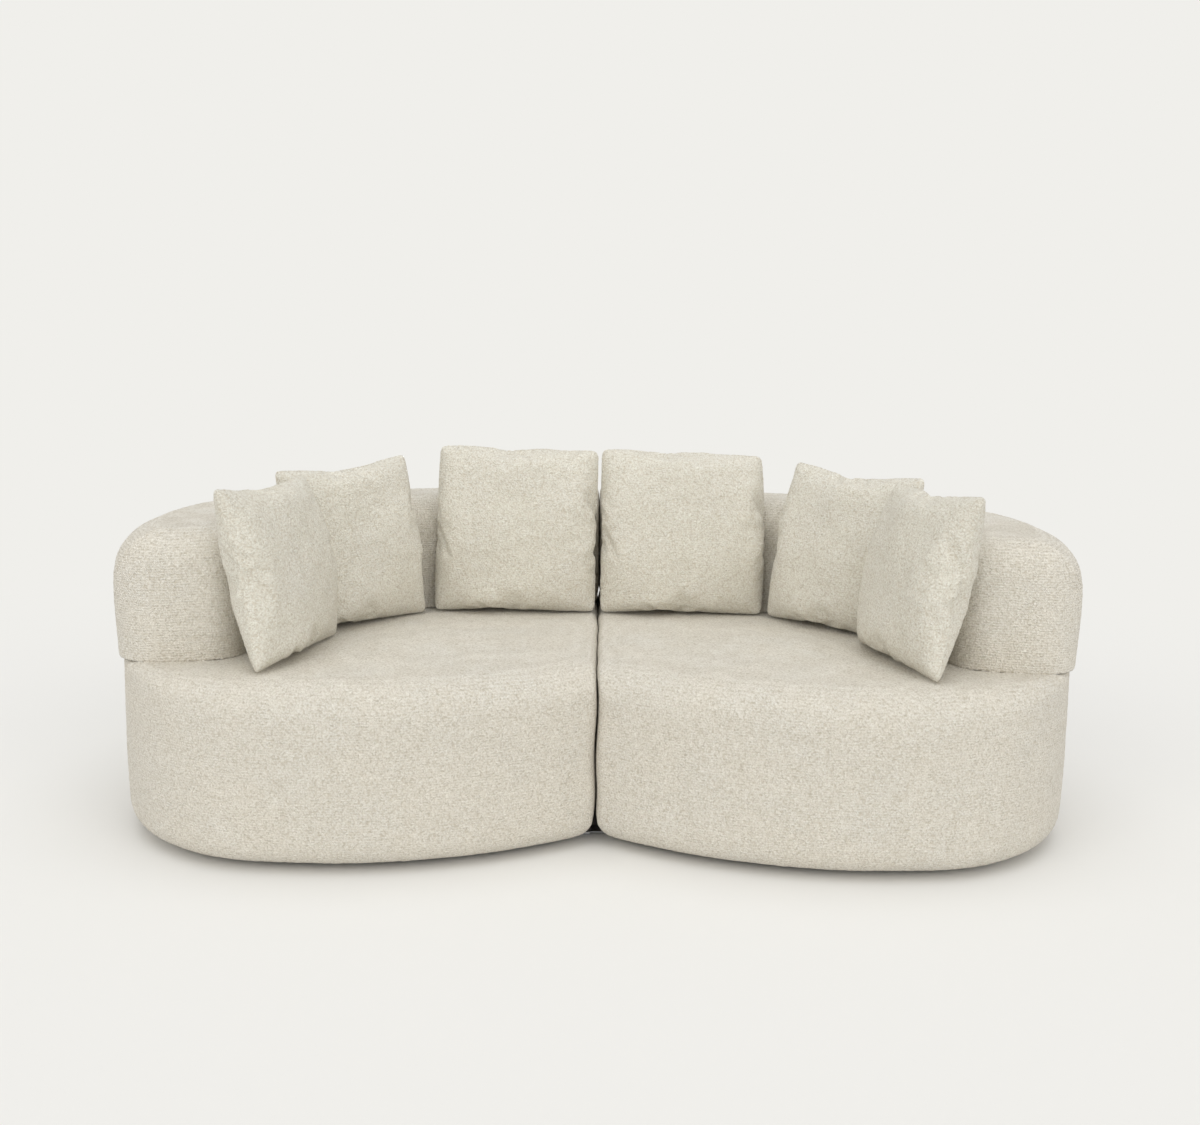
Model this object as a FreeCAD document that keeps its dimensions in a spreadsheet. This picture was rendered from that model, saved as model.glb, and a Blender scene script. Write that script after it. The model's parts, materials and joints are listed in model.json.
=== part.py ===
import FreeCAD, Part
import math
import os
import Sketcher

# Curved sofa made of two mirrored modules, each a wrapped foam base with an arm and back band on top.
# Six loose cushions lean on the band. The origin is on the floor at the centre of the footprint.
# +X is to the right for someone facing the sofa, +Y goes to its back, +Z is up, in millimetres.

os.makedirs("parts", exist_ok=True)
doc = FreeCAD.newDocument("curved_sofa")
Vec = FreeCAD.Vector
UP = Vec(0, 0, 1)

# Driving sizes: alias, value, what it is
SIZES = [
    ("overall_width", 2400.0, "outside of one arm to outside of the other"),
    ("overall_depth", 1230.0, "front of the base to the back of the band"),
    ("seat_height", 450.0, "floor to the seat deck"),
    ("back_height", 770.0, "floor to the top of the arm and back band"),
    ("floor_gap", 15.0, "floor to the underside of the base cover"),
    ("module_gap", 6.0, "between the two modules at the seam"),
    ("front_radius", 1150.0, "plan radius of the base front"),
    ("corner_radius", 440.0, "plan radius from the base front to its side"),
    ("front_shift", 99.5, "front corner's plan centre to the front arc's, across"),
    ("side_straight", 95.0, "length of the straight side"),
    ("back_corner_radius", 420.0, "plan radius from the side to the back"),
    ("band_overhang", 10.0, "band outside the base wall"),
    ("back_thickness", 300.0, "band thickness at the back"),
    ("arm_thickness", 325.0, "base wall to the inside of the arm"),
    ("inner_corner_radius", 330.0, "plan radius inside the back corner"),
    ("arm_front_y", -373.0, "Y of the arm's front face at its inner corner"),
    ("arm_front_turn", 12.0, "degrees that the arm's front face turns to the centre"),
    ("arm_outer_round", 115.0, "plan radius at the arm's outer front corner"),
    ("arm_inner_round", 95.0, "plan radius at the arm's inner front corner"),
    ("bottom_round", 60.0, "radius along the bottom edge of the base"),
    ("front_round", 85.0, "radius along the front edge of the seat"),
    ("crease_round", 18.0, "radius where base and band meet"),
    ("fade_y", -360.0, "Y where the front rounding has faded to the crease"),
    ("band_round", 88.0, "radius along the top of the band"),
    ("seam_round", 12.0, "radius along the seat's edge at the module seam"),
    ("cover_thickness", 3.0, "looped cover fabric with its backing"),
    ("wall_foam", 57.0, "foam round the base frame"),
    ("band_foam", 40.0, "foam round the band frame"),
    ("ply", 18.0, "plywood of rings, rails and ribs"),
    ("liner", 4.0, "bent fibreboard skin on the frames"),
    ("fit_gap", 0.3, "clearance between pieces that slot together"),
    ("floor_ring_width", 130.0, "floor ring, outside to inside"),
    ("seat_foam_height", 105.0, "seat foam slab"),
    ("ring_ledge", 60.0, "seat ring that shows inside the band frame"),
    ("front_rail", 90.0, "seat ring width along the front and the seam"),
    ("frame_rail", 70.0, "width of the band sill and top rail walls"),
    ("rib_depth", 110.0, "base rib, radially"),
    ("tab_length", 50.0, "tab of a base rib"),
    ("rib_play", 2.0, "rib end to the skin beside it"),
    ("band_tab", 40.0, "tab of a band rib"),
    ("band_tab_inset", 12.0, "band rib end to its tab"),
    ("strap_width", 60.0, "elastic webbing strap"),
    ("strap_thickness", 1.6, "elastic webbing strap"),
    ("strap_pitch", 116.0, "webbing strap spacing"),
    ("strap_overlap", 40.0, "strap stapled on the seat ring"),
    ("glide_radius", 22.0, "floor glide"),
    ("glide_edge", 3.0, "bevel round a glide's underside"),
    ("glide_inset", 125.0, "base wall to a glide's centre"),
    ("bolt_radius", 4.0, "bolt through seat ring and band sill"),
    ("bolt_head_radius", 9.0, "flange head of that bolt"),
    ("bolt_head_height", 5.0, "flange head of that bolt"),
    ("tee_nut_radius", 11.0, "flange of the nut that the bolt screws into"),
    ("tee_nut_height", 1.5, "flange of that nut"),
    ("bolt_edge", 20.0, "outer edge of the seat ring to a bolt"),
    ("flange_width", 30.0, "cover turned under the base"),
    ("dust_cover_thickness", 1.2, "woven cloth under the base"),
    ("connector_front_inset", 105.0, "base front at the seam to the front connector"),
    ("connector_back_inset", 225.0, "base back at the seam to the back connector"),
    ("connector_width", 44.0, "tongue of the module connector"),
    ("connector_steel", 3.0, "sheet steel of the connector"),
    ("connector_grip", 38.0, "tongue inside the jaw"),
    ("connector_setback", 22.0, "base frame to the connector's plate"),
    ("connector_plate", 65.0, "length of the plate under the floor ring"),
    ("connector_joggle", 10.0, "length of the bend between tongue and plate"),
    ("joggle_shift", 4.0, "upper side of that bend ahead of its lower side"),
    ("jaw_mouth", 9.0, "seam to the open end of the jaw"),
    ("jaw_flange", 16.0, "flange of the jaw"),
    ("jaw_play", 0.8, "jaw to the tongue inside it"),
    ("cushion_width", 440.0, "cushion as it lies, seam to seam"),
    ("cushion_height", 445.0, "cushion as it stands, seam to seam"),
    ("cushion_thickness", 150.0, "cushion at its middle"),
    ("cushion_skin", 2.0, "cushion cover fabric"),
    ("cushion_gap", 3.0, "cushion to what it leans on"),
    ("centre_lean", 7.0, "degrees that a centre cushion leans back"),
    ("corner_lean", 10.0, "degrees that a corner cushion leans back"),
    ("corner_turn", 44.0, "degrees that a corner cushion is turned"),
    ("corner_slide", 40.0, "corner cushion from the middle of the corner to the centre"),
    ("corner_gap", 10.0, "corner cushion's back edges to the band"),
    ("arm_lean", 12.0, "degrees that an arm cushion leans"),
    ("arm_turn", 75.0, "degrees that an arm cushion is turned"),
    ("arm_cushion_y", -330.0, "Y of the middle of an arm cushion"),
]

sheet = doc.addObject("Spreadsheet::Sheet", "Sizes")
VALUES = {}
for row, (alias, value, meaning) in enumerate(SIZES, 1):
    sheet.set("A%d" % row, alias)
    sheet.set("B%d" % row, repr(value))
    sheet.set("C%d" % row, meaning)
    sheet.setAlias("B%d" % row, alias)
    VALUES[alias] = value
doc.recompute()


class Size:
    """A size worked out from the sheet: its value now, and the formula that keeps it bound."""

    def __init__(self, value, formula):
        self.value = value
        self.formula = formula

    def __add__(self, other):
        other = as_size(other)
        return Size(self.value + other.value, "(%s + %s)" % (self.formula, other.formula))

    def __sub__(self, other):
        other = as_size(other)
        return Size(self.value - other.value, "(%s - %s)" % (self.formula, other.formula))

    def __rsub__(self, other):
        return as_size(other) - self

    def __neg__(self):
        return Size(-self.value, "(-%s)" % self.formula)

    def __truediv__(self, number):
        return Size(self.value / number, "(%s / %s)" % (self.formula, number))

    def __mul__(self, number):
        return Size(self.value * number, "(%s * %s)" % (self.formula, number))


def as_size(thing):
    return thing if isinstance(thing, Size) else Size(float(thing), repr(float(thing)))


def size(alias):
    return Size(VALUES[alias], "Sizes." + alias)


def at_least(small, thing):
    return Size(max(small, thing.value), "max(%s; %s)" % (small, thing.formula))


# Levels and insets that several pieces share
cover = size("cover_thickness")
half_width = size("overall_width") / 2 - size("band_overhang")
seam_x = size("module_gap") / 2
front_y = -size("overall_depth") / 2
back_y = size("overall_depth") / 2 - size("band_overhang")
inner_back_y = size("overall_depth") / 2 - size("back_thickness")
arm_inner = half_width - size("arm_thickness")
corner_reach = size("front_radius") - size("corner_radius")
corner_rise = Size(
    math.sqrt(corner_reach.value**2 - VALUES["front_shift"]**2),
    "sqrt(%s ^ 2 - Sizes.front_shift ^ 2)" % corner_reach.formula)
corner_y = front_y + size("front_radius") - corner_rise
core_bottom = size("floor_gap") + cover
floor_ring_top = core_bottom + size("ply")
strap_room = size("strap_thickness") * 2 + 0.4
seat_foam_bottom = size("seat_height") - cover - size("seat_foam_height")
seat_ring_top = seat_foam_bottom - strap_room
seat_ring_bottom = seat_ring_top - size("ply")
sill_top = seat_ring_top + size("ply")
rail_top = size("back_height") - cover - size("band_foam")
rail_bottom = rail_top - size("ply")
frame_inset = cover + size("wall_foam")
band_frame_inset = cover + size("band_foam")


class Plan:
    """Plan arcs of the right module: each centre and radius, worked out from the sizes."""

    def __init__(self):
        v = VALUES
        self.front_radius = v["front_radius"]
        self.corner_radius = v["corner_radius"]
        self.back_corner_radius = v["back_corner_radius"]
        self.corner = Vec(half_width.value - self.corner_radius, corner_y.value, 0)
        self.front = Vec(self.corner.x - v["front_shift"], front_y.value + self.front_radius, 0)
        side_end = self.corner.y + v["side_straight"]
        self.back_corner = Vec(half_width.value - self.back_corner_radius, side_end, 0)
        across = self.back_corner.x
        rise = back_y.value - self.back_corner.y
        small = self.back_corner_radius
        self.back_radius = (across**2 + rise**2 - small**2) / (2 * (rise - small))
        self.back = Vec(0, back_y.value - self.back_radius, 0)
        self.inner_back_radius = inner_back_y.value - self.back.y
        self.inner_corner_radius = v["inner_corner_radius"]
        inner_x = arm_inner.value - self.inner_corner_radius
        drop = math.sqrt((self.inner_back_radius - self.inner_corner_radius) ** 2 - inner_x**2)
        self.inner_corner = Vec(inner_x, self.back.y + drop, 0)


plan = Plan()


def on_circle(centre, radius, angle):
    return centre + Vec(radius * math.cos(angle), radius * math.sin(angle), 0)


def bearing(centre, point):
    return math.atan2(point.y - centre.y, point.x - centre.x)


class Profile:
    """A sketch drawn as arcs and lines, whose dimensions are bound to the sheet."""

    def __init__(self, body, name, plane, offset=None):
        self.sketch = body.newObject("Sketcher::SketchObject", name)
        for feature in body.Origin.OriginFeatures:
            if feature.Role == plane:
                self.sketch.AttachmentSupport = [(feature, "")]
        self.sketch.MapMode = "FlatFace"
        if offset is not None:
            self.sketch.setExpression(".AttachmentOffset.Base.z", offset.formula)

    def arc(self, centre, radius, start, end):
        circle = Part.Circle(centre, UP, radius)
        return self.sketch.addGeometry(Part.ArcOfCircle(circle, start, end), False)

    def line(self, start, end):
        return self.sketch.addGeometry(Part.LineSegment(start, end), False)

    def point(self, x, y):
        return self.sketch.addGeometry(Part.Point(Vec(x, y, 0)), True)

    def rule(self, *terms):
        return self.sketch.addConstraint(Sketcher.Constraint(*terms))

    def dimension(self, thing, *terms):
        number = self.rule(*terms, thing.value)
        self.sketch.setExpression("Constraints[%d]" % number, thing.formula)

    def smooth(self, first, first_end, second, second_end):
        self.rule("Tangent", first, first_end, second, second_end)

    def join(self, first, first_end, second, second_end):
        self.rule("Coincident", first, first_end, second, second_end)

    def across(self, thing, item, end):
        self.dimension(thing, "DistanceX", -1, 1, item, end)

    def along(self, thing, item, end):
        self.dimension(thing, "DistanceY", -1, 1, item, end)

    def crossing(self, thing, curve):
        """Holds a curve to a point on the plane of symmetry."""
        mark = self.point(0, thing.value)
        self.rule("PointOnObject", mark, 1, -2)
        self.rule("PointOnObject", mark, 1, curve)
        self.along(thing, mark, 1)

    def polygon(self, corners):
        """Straight sides through corners given as pairs of sizes."""
        points = [Vec(x.value, y.value, 0) for x, y in corners]
        sides = [self.line(start, end) for start, end in zip(points, points[1:] + points[:1])]
        for side, following in zip(sides, sides[1:] + sides[:1]):
            self.join(side, 2, following, 1)
        for side, (x, y) in zip(sides, corners):
            self.across(x, side, 1)
            self.along(y, side, 1)


# A sketch counts the points of a curve from its start; 0 is the curve itself
CURVE_POINTS = ("curve", "start", "end", "centre")
START, END, CENTRE = (CURVE_POINTS.index(point) for point in CURVE_POINTS[1:])


def new_body(name):
    body = doc.addObject("PartDesign::Body", name)
    body.Label = name
    return body


def pad(body, profile, height):
    feature = body.newObject("PartDesign::Pad", body.Name + "_pad")
    feature.Profile = profile.sketch
    feature.setExpression("Length", height.formula)
    profile.sketch.Visibility = False
    doc.recompute()
    return feature


def base_outline(body, inset, bottom, split=False):
    """Plan outline of the right base, moved inwards by the inset."""
    sketch = Profile(body, body.Name + "_outline", "XY_Plane", bottom)
    move = inset.value
    front_r = plan.front_radius - move
    corner_r = plan.corner_radius - move
    back_corner_r = plan.back_corner_radius - move
    back_r = plan.back_radius - move
    seam = seam_x.value + move
    front_seam = Vec(seam, plan.front.y - math.sqrt(front_r**2 - (plan.front.x - seam) ** 2), 0)
    back_seam = Vec(seam, plan.back.y + math.sqrt(back_r**2 - seam**2), 0)
    turn = bearing(plan.front, plan.corner)
    back_turn = bearing(plan.back, plan.back_corner)
    seam_turn = bearing(plan.front, front_seam)
    front = sketch.arc(plan.front, front_r, seam_turn, turn)
    fade = math.asin((VALUES["fade_y"] - plan.corner.y) / corner_r)
    corner = sketch.arc(plan.corner, corner_r, turn, fade if split else 0)
    last_corner = corner
    if split:
        last_corner = sketch.arc(plan.corner, corner_r, fade, 0)
        sketch.join(corner, END, last_corner, START)
        sketch.join(corner, CENTRE, last_corner, CENTRE)
        sketch.along(size("fade_y"), corner, END)
    side = sketch.line(plan.corner + Vec(corner_r, 0, 0), plan.back_corner + Vec(back_corner_r, 0, 0))
    back_corner = sketch.arc(plan.back_corner, back_corner_r, 0, back_turn)
    back = sketch.arc(plan.back, back_r, back_turn, bearing(plan.back, back_seam))
    seam_line = sketch.line(back_seam, front_seam)
    sketch.smooth(front, END, corner, START)
    sketch.smooth(last_corner, END, side, START)
    sketch.smooth(side, END, back_corner, START)
    sketch.smooth(back_corner, END, back, START)
    sketch.join(back, END, seam_line, START)
    sketch.join(seam_line, END, front, START)
    sketch.rule("Vertical", side)
    sketch.rule("Vertical", seam_line)
    sketch.rule("PointOnObject", back, CENTRE, -2)
    sketch.dimension(size("front_radius") - inset, "Radius", front)
    sketch.dimension(size("corner_radius") - inset, "Radius", corner)
    sketch.dimension(size("back_corner_radius") - inset, "Radius", back_corner)
    sketch.along(front_y + size("front_radius"), front, CENTRE)
    sketch.across(half_width - inset, side, START)
    sketch.along(corner_y, side, START)
    sketch.dimension(size("side_straight"), "DistanceY", side, START, side, END)
    sketch.across(seam_x + inset, seam_line, START)
    sketch.crossing(back_y - inset, back)
    return sketch


def band_outline(body, inset, bottom):
    """Plan outline of the right arm and back band, moved inwards by the inset."""
    sketch = Profile(body, body.Name + "_outline", "XY_Plane", bottom)
    move = inset.value
    over = size("band_overhang") - inset
    corner_r = plan.corner_radius + over.value
    back_corner_r = plan.back_corner_radius + over.value
    back_r = plan.back_radius + over.value
    inner_r = plan.inner_back_radius + move
    inner_corner_r = plan.inner_corner_radius + move
    outer_round = at_least(6, size("arm_outer_round") - inset)
    inner_round = at_least(4, size("arm_inner_round") - inset)
    inner_x = arm_inner + inset
    turn = math.radians(VALUES["arm_front_turn"])
    slope = math.tan(turn)
    front_mark_y = VALUES["arm_front_y"] + move / math.cos(turn)

    def face_y(x, back_off):
        return front_mark_y - (x - arm_inner.value) * slope + back_off / math.cos(turn)

    inner_centre = Vec(inner_x.value + inner_round.value, 0, 0)
    inner_centre.y = face_y(inner_centre.x, inner_round.value)
    # The outer rounding's centre lies on a circle about the corner and on a line behind the face
    reach = corner_r - outer_round.value
    low, high = plan.corner.x, plan.corner.x + reach
    for step in range(60):
        middle = (low + high) / 2
        away = math.hypot(middle - plan.corner.x, face_y(middle, outer_round.value) - plan.corner.y)
        low, high = (middle, high) if away < reach else (low, middle)
    outer_centre = Vec(low, face_y(low, outer_round.value), 0)
    face_turn = -math.pi / 2 - turn
    outer_turn = bearing(plan.corner, outer_centre)
    back_turn = bearing(plan.back, plan.back_corner)
    inner_turn = bearing(plan.back, plan.inner_corner)
    seam = seam_x.value + move
    outer_seam = Vec(seam, plan.back.y + math.sqrt(back_r**2 - seam**2), 0)
    inner_seam = Vec(seam, plan.back.y + math.sqrt(inner_r**2 - seam**2), 0)
    face_start = on_circle(inner_centre, inner_round.value, face_turn)
    face_end = on_circle(outer_centre, outer_round.value, face_turn)

    corner = sketch.arc(plan.corner, corner_r, outer_turn, 0)
    side = sketch.line(plan.corner + Vec(corner_r, 0, 0), plan.back_corner + Vec(back_corner_r, 0, 0))
    back_corner = sketch.arc(plan.back_corner, back_corner_r, 0, back_turn)
    back = sketch.arc(plan.back, back_r, back_turn, bearing(plan.back, outer_seam))
    seam_line = sketch.line(outer_seam, inner_seam)
    inner_back = sketch.arc(plan.back, inner_r, inner_turn, bearing(plan.back, inner_seam))
    inner_corner = sketch.arc(plan.inner_corner, inner_corner_r, 0, inner_turn)
    inner_arm = sketch.line(plan.inner_corner + Vec(inner_corner_r, 0, 0), inner_centre - Vec(inner_round.value, 0, 0))
    inner_front = sketch.arc(inner_centre, inner_round.value, -math.pi, face_turn)
    face = sketch.line(face_start, face_end)
    outer_front = sketch.arc(outer_centre, outer_round.value, face_turn, outer_turn)
    sketch.smooth(corner, END, side, START)
    sketch.smooth(side, END, back_corner, START)
    sketch.smooth(back_corner, END, back, START)
    sketch.join(back, END, seam_line, START)
    sketch.join(seam_line, END, inner_back, END)
    sketch.smooth(inner_back, START, inner_corner, END)
    sketch.smooth(inner_corner, START, inner_arm, START)
    sketch.smooth(inner_arm, END, inner_front, START)
    sketch.smooth(inner_front, END, face, START)
    sketch.smooth(face, END, outer_front, START)
    sketch.smooth(outer_front, END, corner, START)
    sketch.join(inner_back, CENTRE, back, CENTRE)
    for upright in (side, seam_line, inner_arm):
        sketch.rule("Vertical", upright)
    sketch.rule("PointOnObject", back, CENTRE, -2)
    sketch.dimension(size("corner_radius") + over, "Radius", corner)
    sketch.dimension(size("back_corner_radius") + over, "Radius", back_corner)
    sketch.dimension(size("inner_corner_radius") + inset, "Radius", inner_corner)
    sketch.dimension(outer_round, "Radius", outer_front)
    sketch.dimension(inner_round, "Radius", inner_front)
    sketch.across(half_width + over, side, START)
    sketch.along(corner_y, side, START)
    sketch.dimension(size("side_straight"), "DistanceY", side, START, side, END)
    sketch.across(seam_x + inset, seam_line, START)
    sketch.crossing(back_y + over, back)
    sketch.crossing(inner_back_y + inset, inner_back)
    sketch.across(inner_x, inner_arm, START)
    mark = sketch.point(arm_inner.value, front_mark_y)
    sketch.rule("PointOnObject", mark, START, face)
    sketch.across(arm_inner, mark, START)
    back_off = "%s / cos(Sizes.arm_front_turn * 1 deg)" % inset.formula
    sketch.along(Size(front_mark_y, "Sizes.arm_front_y + " + back_off), mark, START)
    number = sketch.rule("Angle", face, -turn)
    sketch.sketch.setExpression("Constraints[%d]" % number, "-Sizes.arm_front_turn * 1 deg")
    return sketch


def opening_outline(body, bottom):
    """Opening of the seat ring that the webbing spans."""
    sketch = Profile(body, body.Name + "_outline", "XY_Plane", bottom)
    inset = frame_inset + size("front_rail")
    ledge = size("ring_ledge")
    front_r = plan.front_radius - inset.value
    inner_r = plan.inner_back_radius - ledge.value
    inner_corner_r = plan.inner_corner_radius - ledge.value
    seam = (seam_x + inset).value
    arm_x = (arm_inner - ledge).value
    front_seam = Vec(seam, plan.front.y - math.sqrt(front_r**2 - (plan.front.x - seam) ** 2), 0)
    front_arm = Vec(arm_x, plan.front.y - math.sqrt(front_r**2 - (plan.front.x - arm_x) ** 2), 0)
    inner_seam = Vec(seam, plan.back.y + math.sqrt(inner_r**2 - seam**2), 0)
    inner_turn = bearing(plan.back, plan.inner_corner)
    front = sketch.arc(plan.front, front_r, bearing(plan.front, front_seam), bearing(plan.front, front_arm))
    arm = sketch.line(front_arm, plan.inner_corner + Vec(inner_corner_r, 0, 0))
    corner = sketch.arc(plan.inner_corner, inner_corner_r, 0, inner_turn)
    back = sketch.arc(plan.back, inner_r, inner_turn, bearing(plan.back, inner_seam))
    seam_line = sketch.line(inner_seam, front_seam)
    sketch.join(front, END, arm, START)
    sketch.smooth(arm, END, corner, START)
    sketch.smooth(corner, END, back, START)
    sketch.join(back, END, seam_line, START)
    sketch.join(seam_line, END, front, START)
    sketch.rule("Vertical", arm)
    sketch.rule("Vertical", seam_line)
    sketch.rule("PointOnObject", back, CENTRE, -2)
    sketch.dimension(size("front_radius") - inset, "Radius", front)
    sketch.dimension(size("inner_corner_radius") - ledge, "Radius", corner)
    sketch.along(front_y + size("front_radius"), front, CENTRE)
    sketch.across(Size(plan.front.x, repr(plan.front.x)), front, CENTRE)
    sketch.across(arm_inner - ledge, arm, START)
    sketch.across(seam_x + inset, seam_line, START)
    sketch.crossing(inner_back_y - ledge, back)
    sketch.along(Size(plan.back.y, repr(plan.back.y)), back, CENTRE)
    return sketch


def base_block(name, inset, bottom, top, split=False):
    body = new_body(name)
    pad(body, base_outline(body, inset, bottom, split), top - bottom)
    return body


def band_block(name, inset, bottom, top):
    body = new_body(name)
    pad(body, band_outline(body, inset, bottom), top - bottom)
    return body


def edges_at(shape, level):
    return [i for i, edge in enumerate(shape.Edges, 1)
            if abs(edge.BoundBox.ZMin - level) < 0.01 and abs(edge.BoundBox.ZMax - level) < 0.01]


def round_edges(body, numbers, radius, name):
    base = body.Tip
    feature = body.newObject("PartDesign::Fillet", body.Name + name)
    feature.Base = (base, ["Edge%d" % i for i in numbers])
    feature.setExpression("Radius", radius.formula)
    doc.recompute()
    return feature


def boolean(kind, name, first, *others):
    """A Part boolean of one object with the others, which are fused in turn."""
    result = first
    for count, other in enumerate(others):
        feature = doc.addObject("Part::" + kind, name if count == len(others) - 1 else name + "_step")
        feature.Base = result
        feature.Tool = other
        result = feature
    result.Label = name
    doc.recompute()
    return result


def solid_group(name, shapes):
    """Identical loose pieces in one node."""
    group = doc.addObject("Part::Feature", name)
    group.Label = name
    group.Shape = Part.makeCompound(shapes)
    return group


nodes = []


def keep(feature, name):
    feature.Label = name
    nodes.append(feature)
    return feature


# Base of the right module: the rounded outside, and inside the cover a core with flat bevels
def middle_of(edge):
    return edge.valueAt((edge.FirstParameter + edge.LastParameter) / 2)


def base_form(name):
    body = base_block(name, zero, size("floor_gap"), size("seat_height"), split=True)
    round_edges(body, edges_at(body.Shape, VALUES["floor_gap"]), size("bottom_round"), "_bottom")
    rounded = doc.addObject("Part::Fillet", name + "_rounded")
    rounded.Base = body
    wide, tight, seam = VALUES["front_round"], VALUES["crease_round"], VALUES["seam_round"]
    radii = []
    for number in edges_at(body.Shape, VALUES["seat_height"]):
        edge = body.Shape.Edges[number - 1]
        middle = middle_of(edge)
        starts_in_front = edge.Vertexes[0].Point.y < edge.Vertexes[-1].Point.y
        if on_seam(edge, zero):
            radii.append((number, seam, seam))
        elif middle.x < plan.corner.x and middle.y < plan.corner.y:
            radii.append((number, wide, wide))
        elif middle.y < VALUES["fade_y"]:
            radii.append((number, wide, tight) if starts_in_front else (number, tight, wide))
        else:
            radii.append((number, tight, tight))
    rounded.Edges = radii
    doc.recompute()
    return rounded


# A bevel this share of the rounding outside it stays under the cover's surface
BEVEL_SHARE = 0.78


def bevel_edges(body, numbers, width, name):
    base = body.Tip
    feature = body.newObject("PartDesign::Chamfer", body.Name + name)
    feature.Base = (base, ["Edge%d" % i for i in numbers])
    feature.setExpression("Size", width.formula)
    doc.recompute()
    return feature


def front_bevel(name):
    """Ring-shaped cutters that take off the core's front edge along its two front arcs."""
    width = (size("front_round") * BEVEL_SHARE).value
    top = VALUES["seat_height"]
    fade = math.asin((VALUES["fade_y"] - plan.corner.y) / plan.corner_radius)
    turn = bearing(plan.front, plan.corner)
    seam_turn = bearing(plan.front, Vec(0, front_seam_y(), 0))
    cutters = []
    for centre, radius, first, last in (
        (plan.front, plan.front_radius, seam_turn - 0.02, turn),
        (plan.corner, plan.corner_radius, turn, fade),
    ):
        edge = radius - VALUES["cover_thickness"]
        corners = [
            Vec(edge - width, 0, top), Vec(edge + width, 0, top), Vec(edge + width, 0, top - 2 * width),
        ]
        corners = [corner - Vec(0, 0, VALUES["cover_thickness"]) for corner in corners]
        section = Part.Face(Part.makePolygon(corners + corners[:1]))
        ring = section.revolve(Vec(0, 0, 0), UP, math.degrees(last - first))
        ring.rotate(Vec(0, 0, 0), UP, math.degrees(first))
        ring.translate(centre)
        cutters.append(ring)
    return solid_group(name, cutters)


def base_core_form(name):
    body = base_block(name, cover, core_bottom, size("seat_height") - cover)
    bevel_edges(body, edges_at(body.Shape, core_bottom.value), size("bottom_round") * BEVEL_SHARE, "_bottom")
    return boolean("Cut", name + "_bevelled", body, front_bevel(name + "_front"))


def on_seam(edge, inset):
    return edge.BoundBox.XMax < seam_x.value + inset.value + 0.01


def band_form(name, inset, finish, width):
    top = size("back_height") - inset
    body = band_block(name, inset, size("seat_height") + inset, top)
    edges = body.Shape.Edges
    finish(body, [i for i in edges_at(body.Shape, top.value) if not on_seam(edges[i - 1], inset)], width, "_top")
    return body


def front_seam_y():
    return plan.front.y - math.sqrt(plan.front_radius**2 - (plan.front.x - seam_x.value) ** 2)


zero = as_size(0)
base_outside = base_form("base_outside")
base_core = base_core_form("base_core")
band_outside = band_form("band_outside", zero, round_edges, size("band_round"))
band_core = band_form("band_core", cover, bevel_edges, size("band_round") * BEVEL_SHARE)

# Hollows that the frames stand in
base_hollow = base_block("base_hollow", frame_inset, core_bottom - 1, seat_foam_bottom)
above_padding = doc.addObject("Part::Box", "above_padding")
for side, formula in (
    ("Length", "Sizes.overall_width"),
    ("Width", "Sizes.overall_depth * 2"),
    ("Height", "Sizes.seat_height"),
    ("Placement.Base.y", "-Sizes.overall_depth"),
    ("Placement.Base.z", seat_foam_bottom.formula),
):
    above_padding.setExpression(side, formula)
deck_slot = band_block("deck_slot", band_frame_inset - 1, seat_ring_top, size("seat_height") + cover + 1)
band_hollow = band_block("band_hollow", band_frame_inset, size("seat_height"), rail_top)
flange_hole = base_block("flange_hole", size("bottom_round") + size("flange_width"), size("floor_gap") - 1, core_bottom + 1)

base_cover = keep(boolean("Cut", "base_cover", base_outside, base_core, deck_slot, flange_hole), "right_base_cover")
padding = boolean("Cut", "padding", base_core, base_hollow, above_padding, deck_slot)
base_padding = keep(padding, "right_base_padding")
foam_top = boolean("Common", "foam_top", base_core, above_padding)
seat_foam = keep(boolean("Cut", "seat_foam", foam_top, deck_slot), "right_seat_foam")
back_cover = keep(boolean("Cut", "back_cover", band_outside, band_core, deck_slot), "right_back_cover")
back_foam = keep(boolean("Cut", "back_foam", band_core, band_hollow), "right_back_foam")


# Places along the outlines where ribs, glides and bolts go: point and direction towards the inside
def station(stretch, share, inset):
    """A point on the base outline, a share of the way along one of its stretches, moved inwards."""
    turn = bearing(plan.front, plan.corner)
    back_turn = bearing(plan.back, plan.back_corner)
    seam = seam_x.value
    arcs = {
        "front": (plan.front, plan.front_radius, math.acos((seam - plan.front.x) / plan.front_radius) * -1, turn),
        "corner": (plan.corner, plan.corner_radius, turn, 0),
        "back_corner": (plan.back_corner, plan.back_corner_radius, 0, back_turn),
        "back": (plan.back, plan.back_radius, back_turn, math.acos(seam / plan.back_radius)),
    }
    if stretch == "seam":
        low, high = front_seam_y(), back_y.value
        return Vec(seam + inset, low + (high - low) * share, 0), Vec(1, 0, 0)
    centre, radius, first, last = arcs[stretch]
    angle = first + (last - first) * share
    return on_circle(centre, radius - inset, angle), on_circle(Vec(0, 0, 0), -1, angle)


def circle_distance(start, ray, centre, radius):
    """From a point inside a circle to the circle, along a ray."""
    gap = start - centre
    along = gap.dot(ray)
    return -along + math.sqrt(max(0, along**2 - gap.dot(gap) + radius**2))


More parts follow.
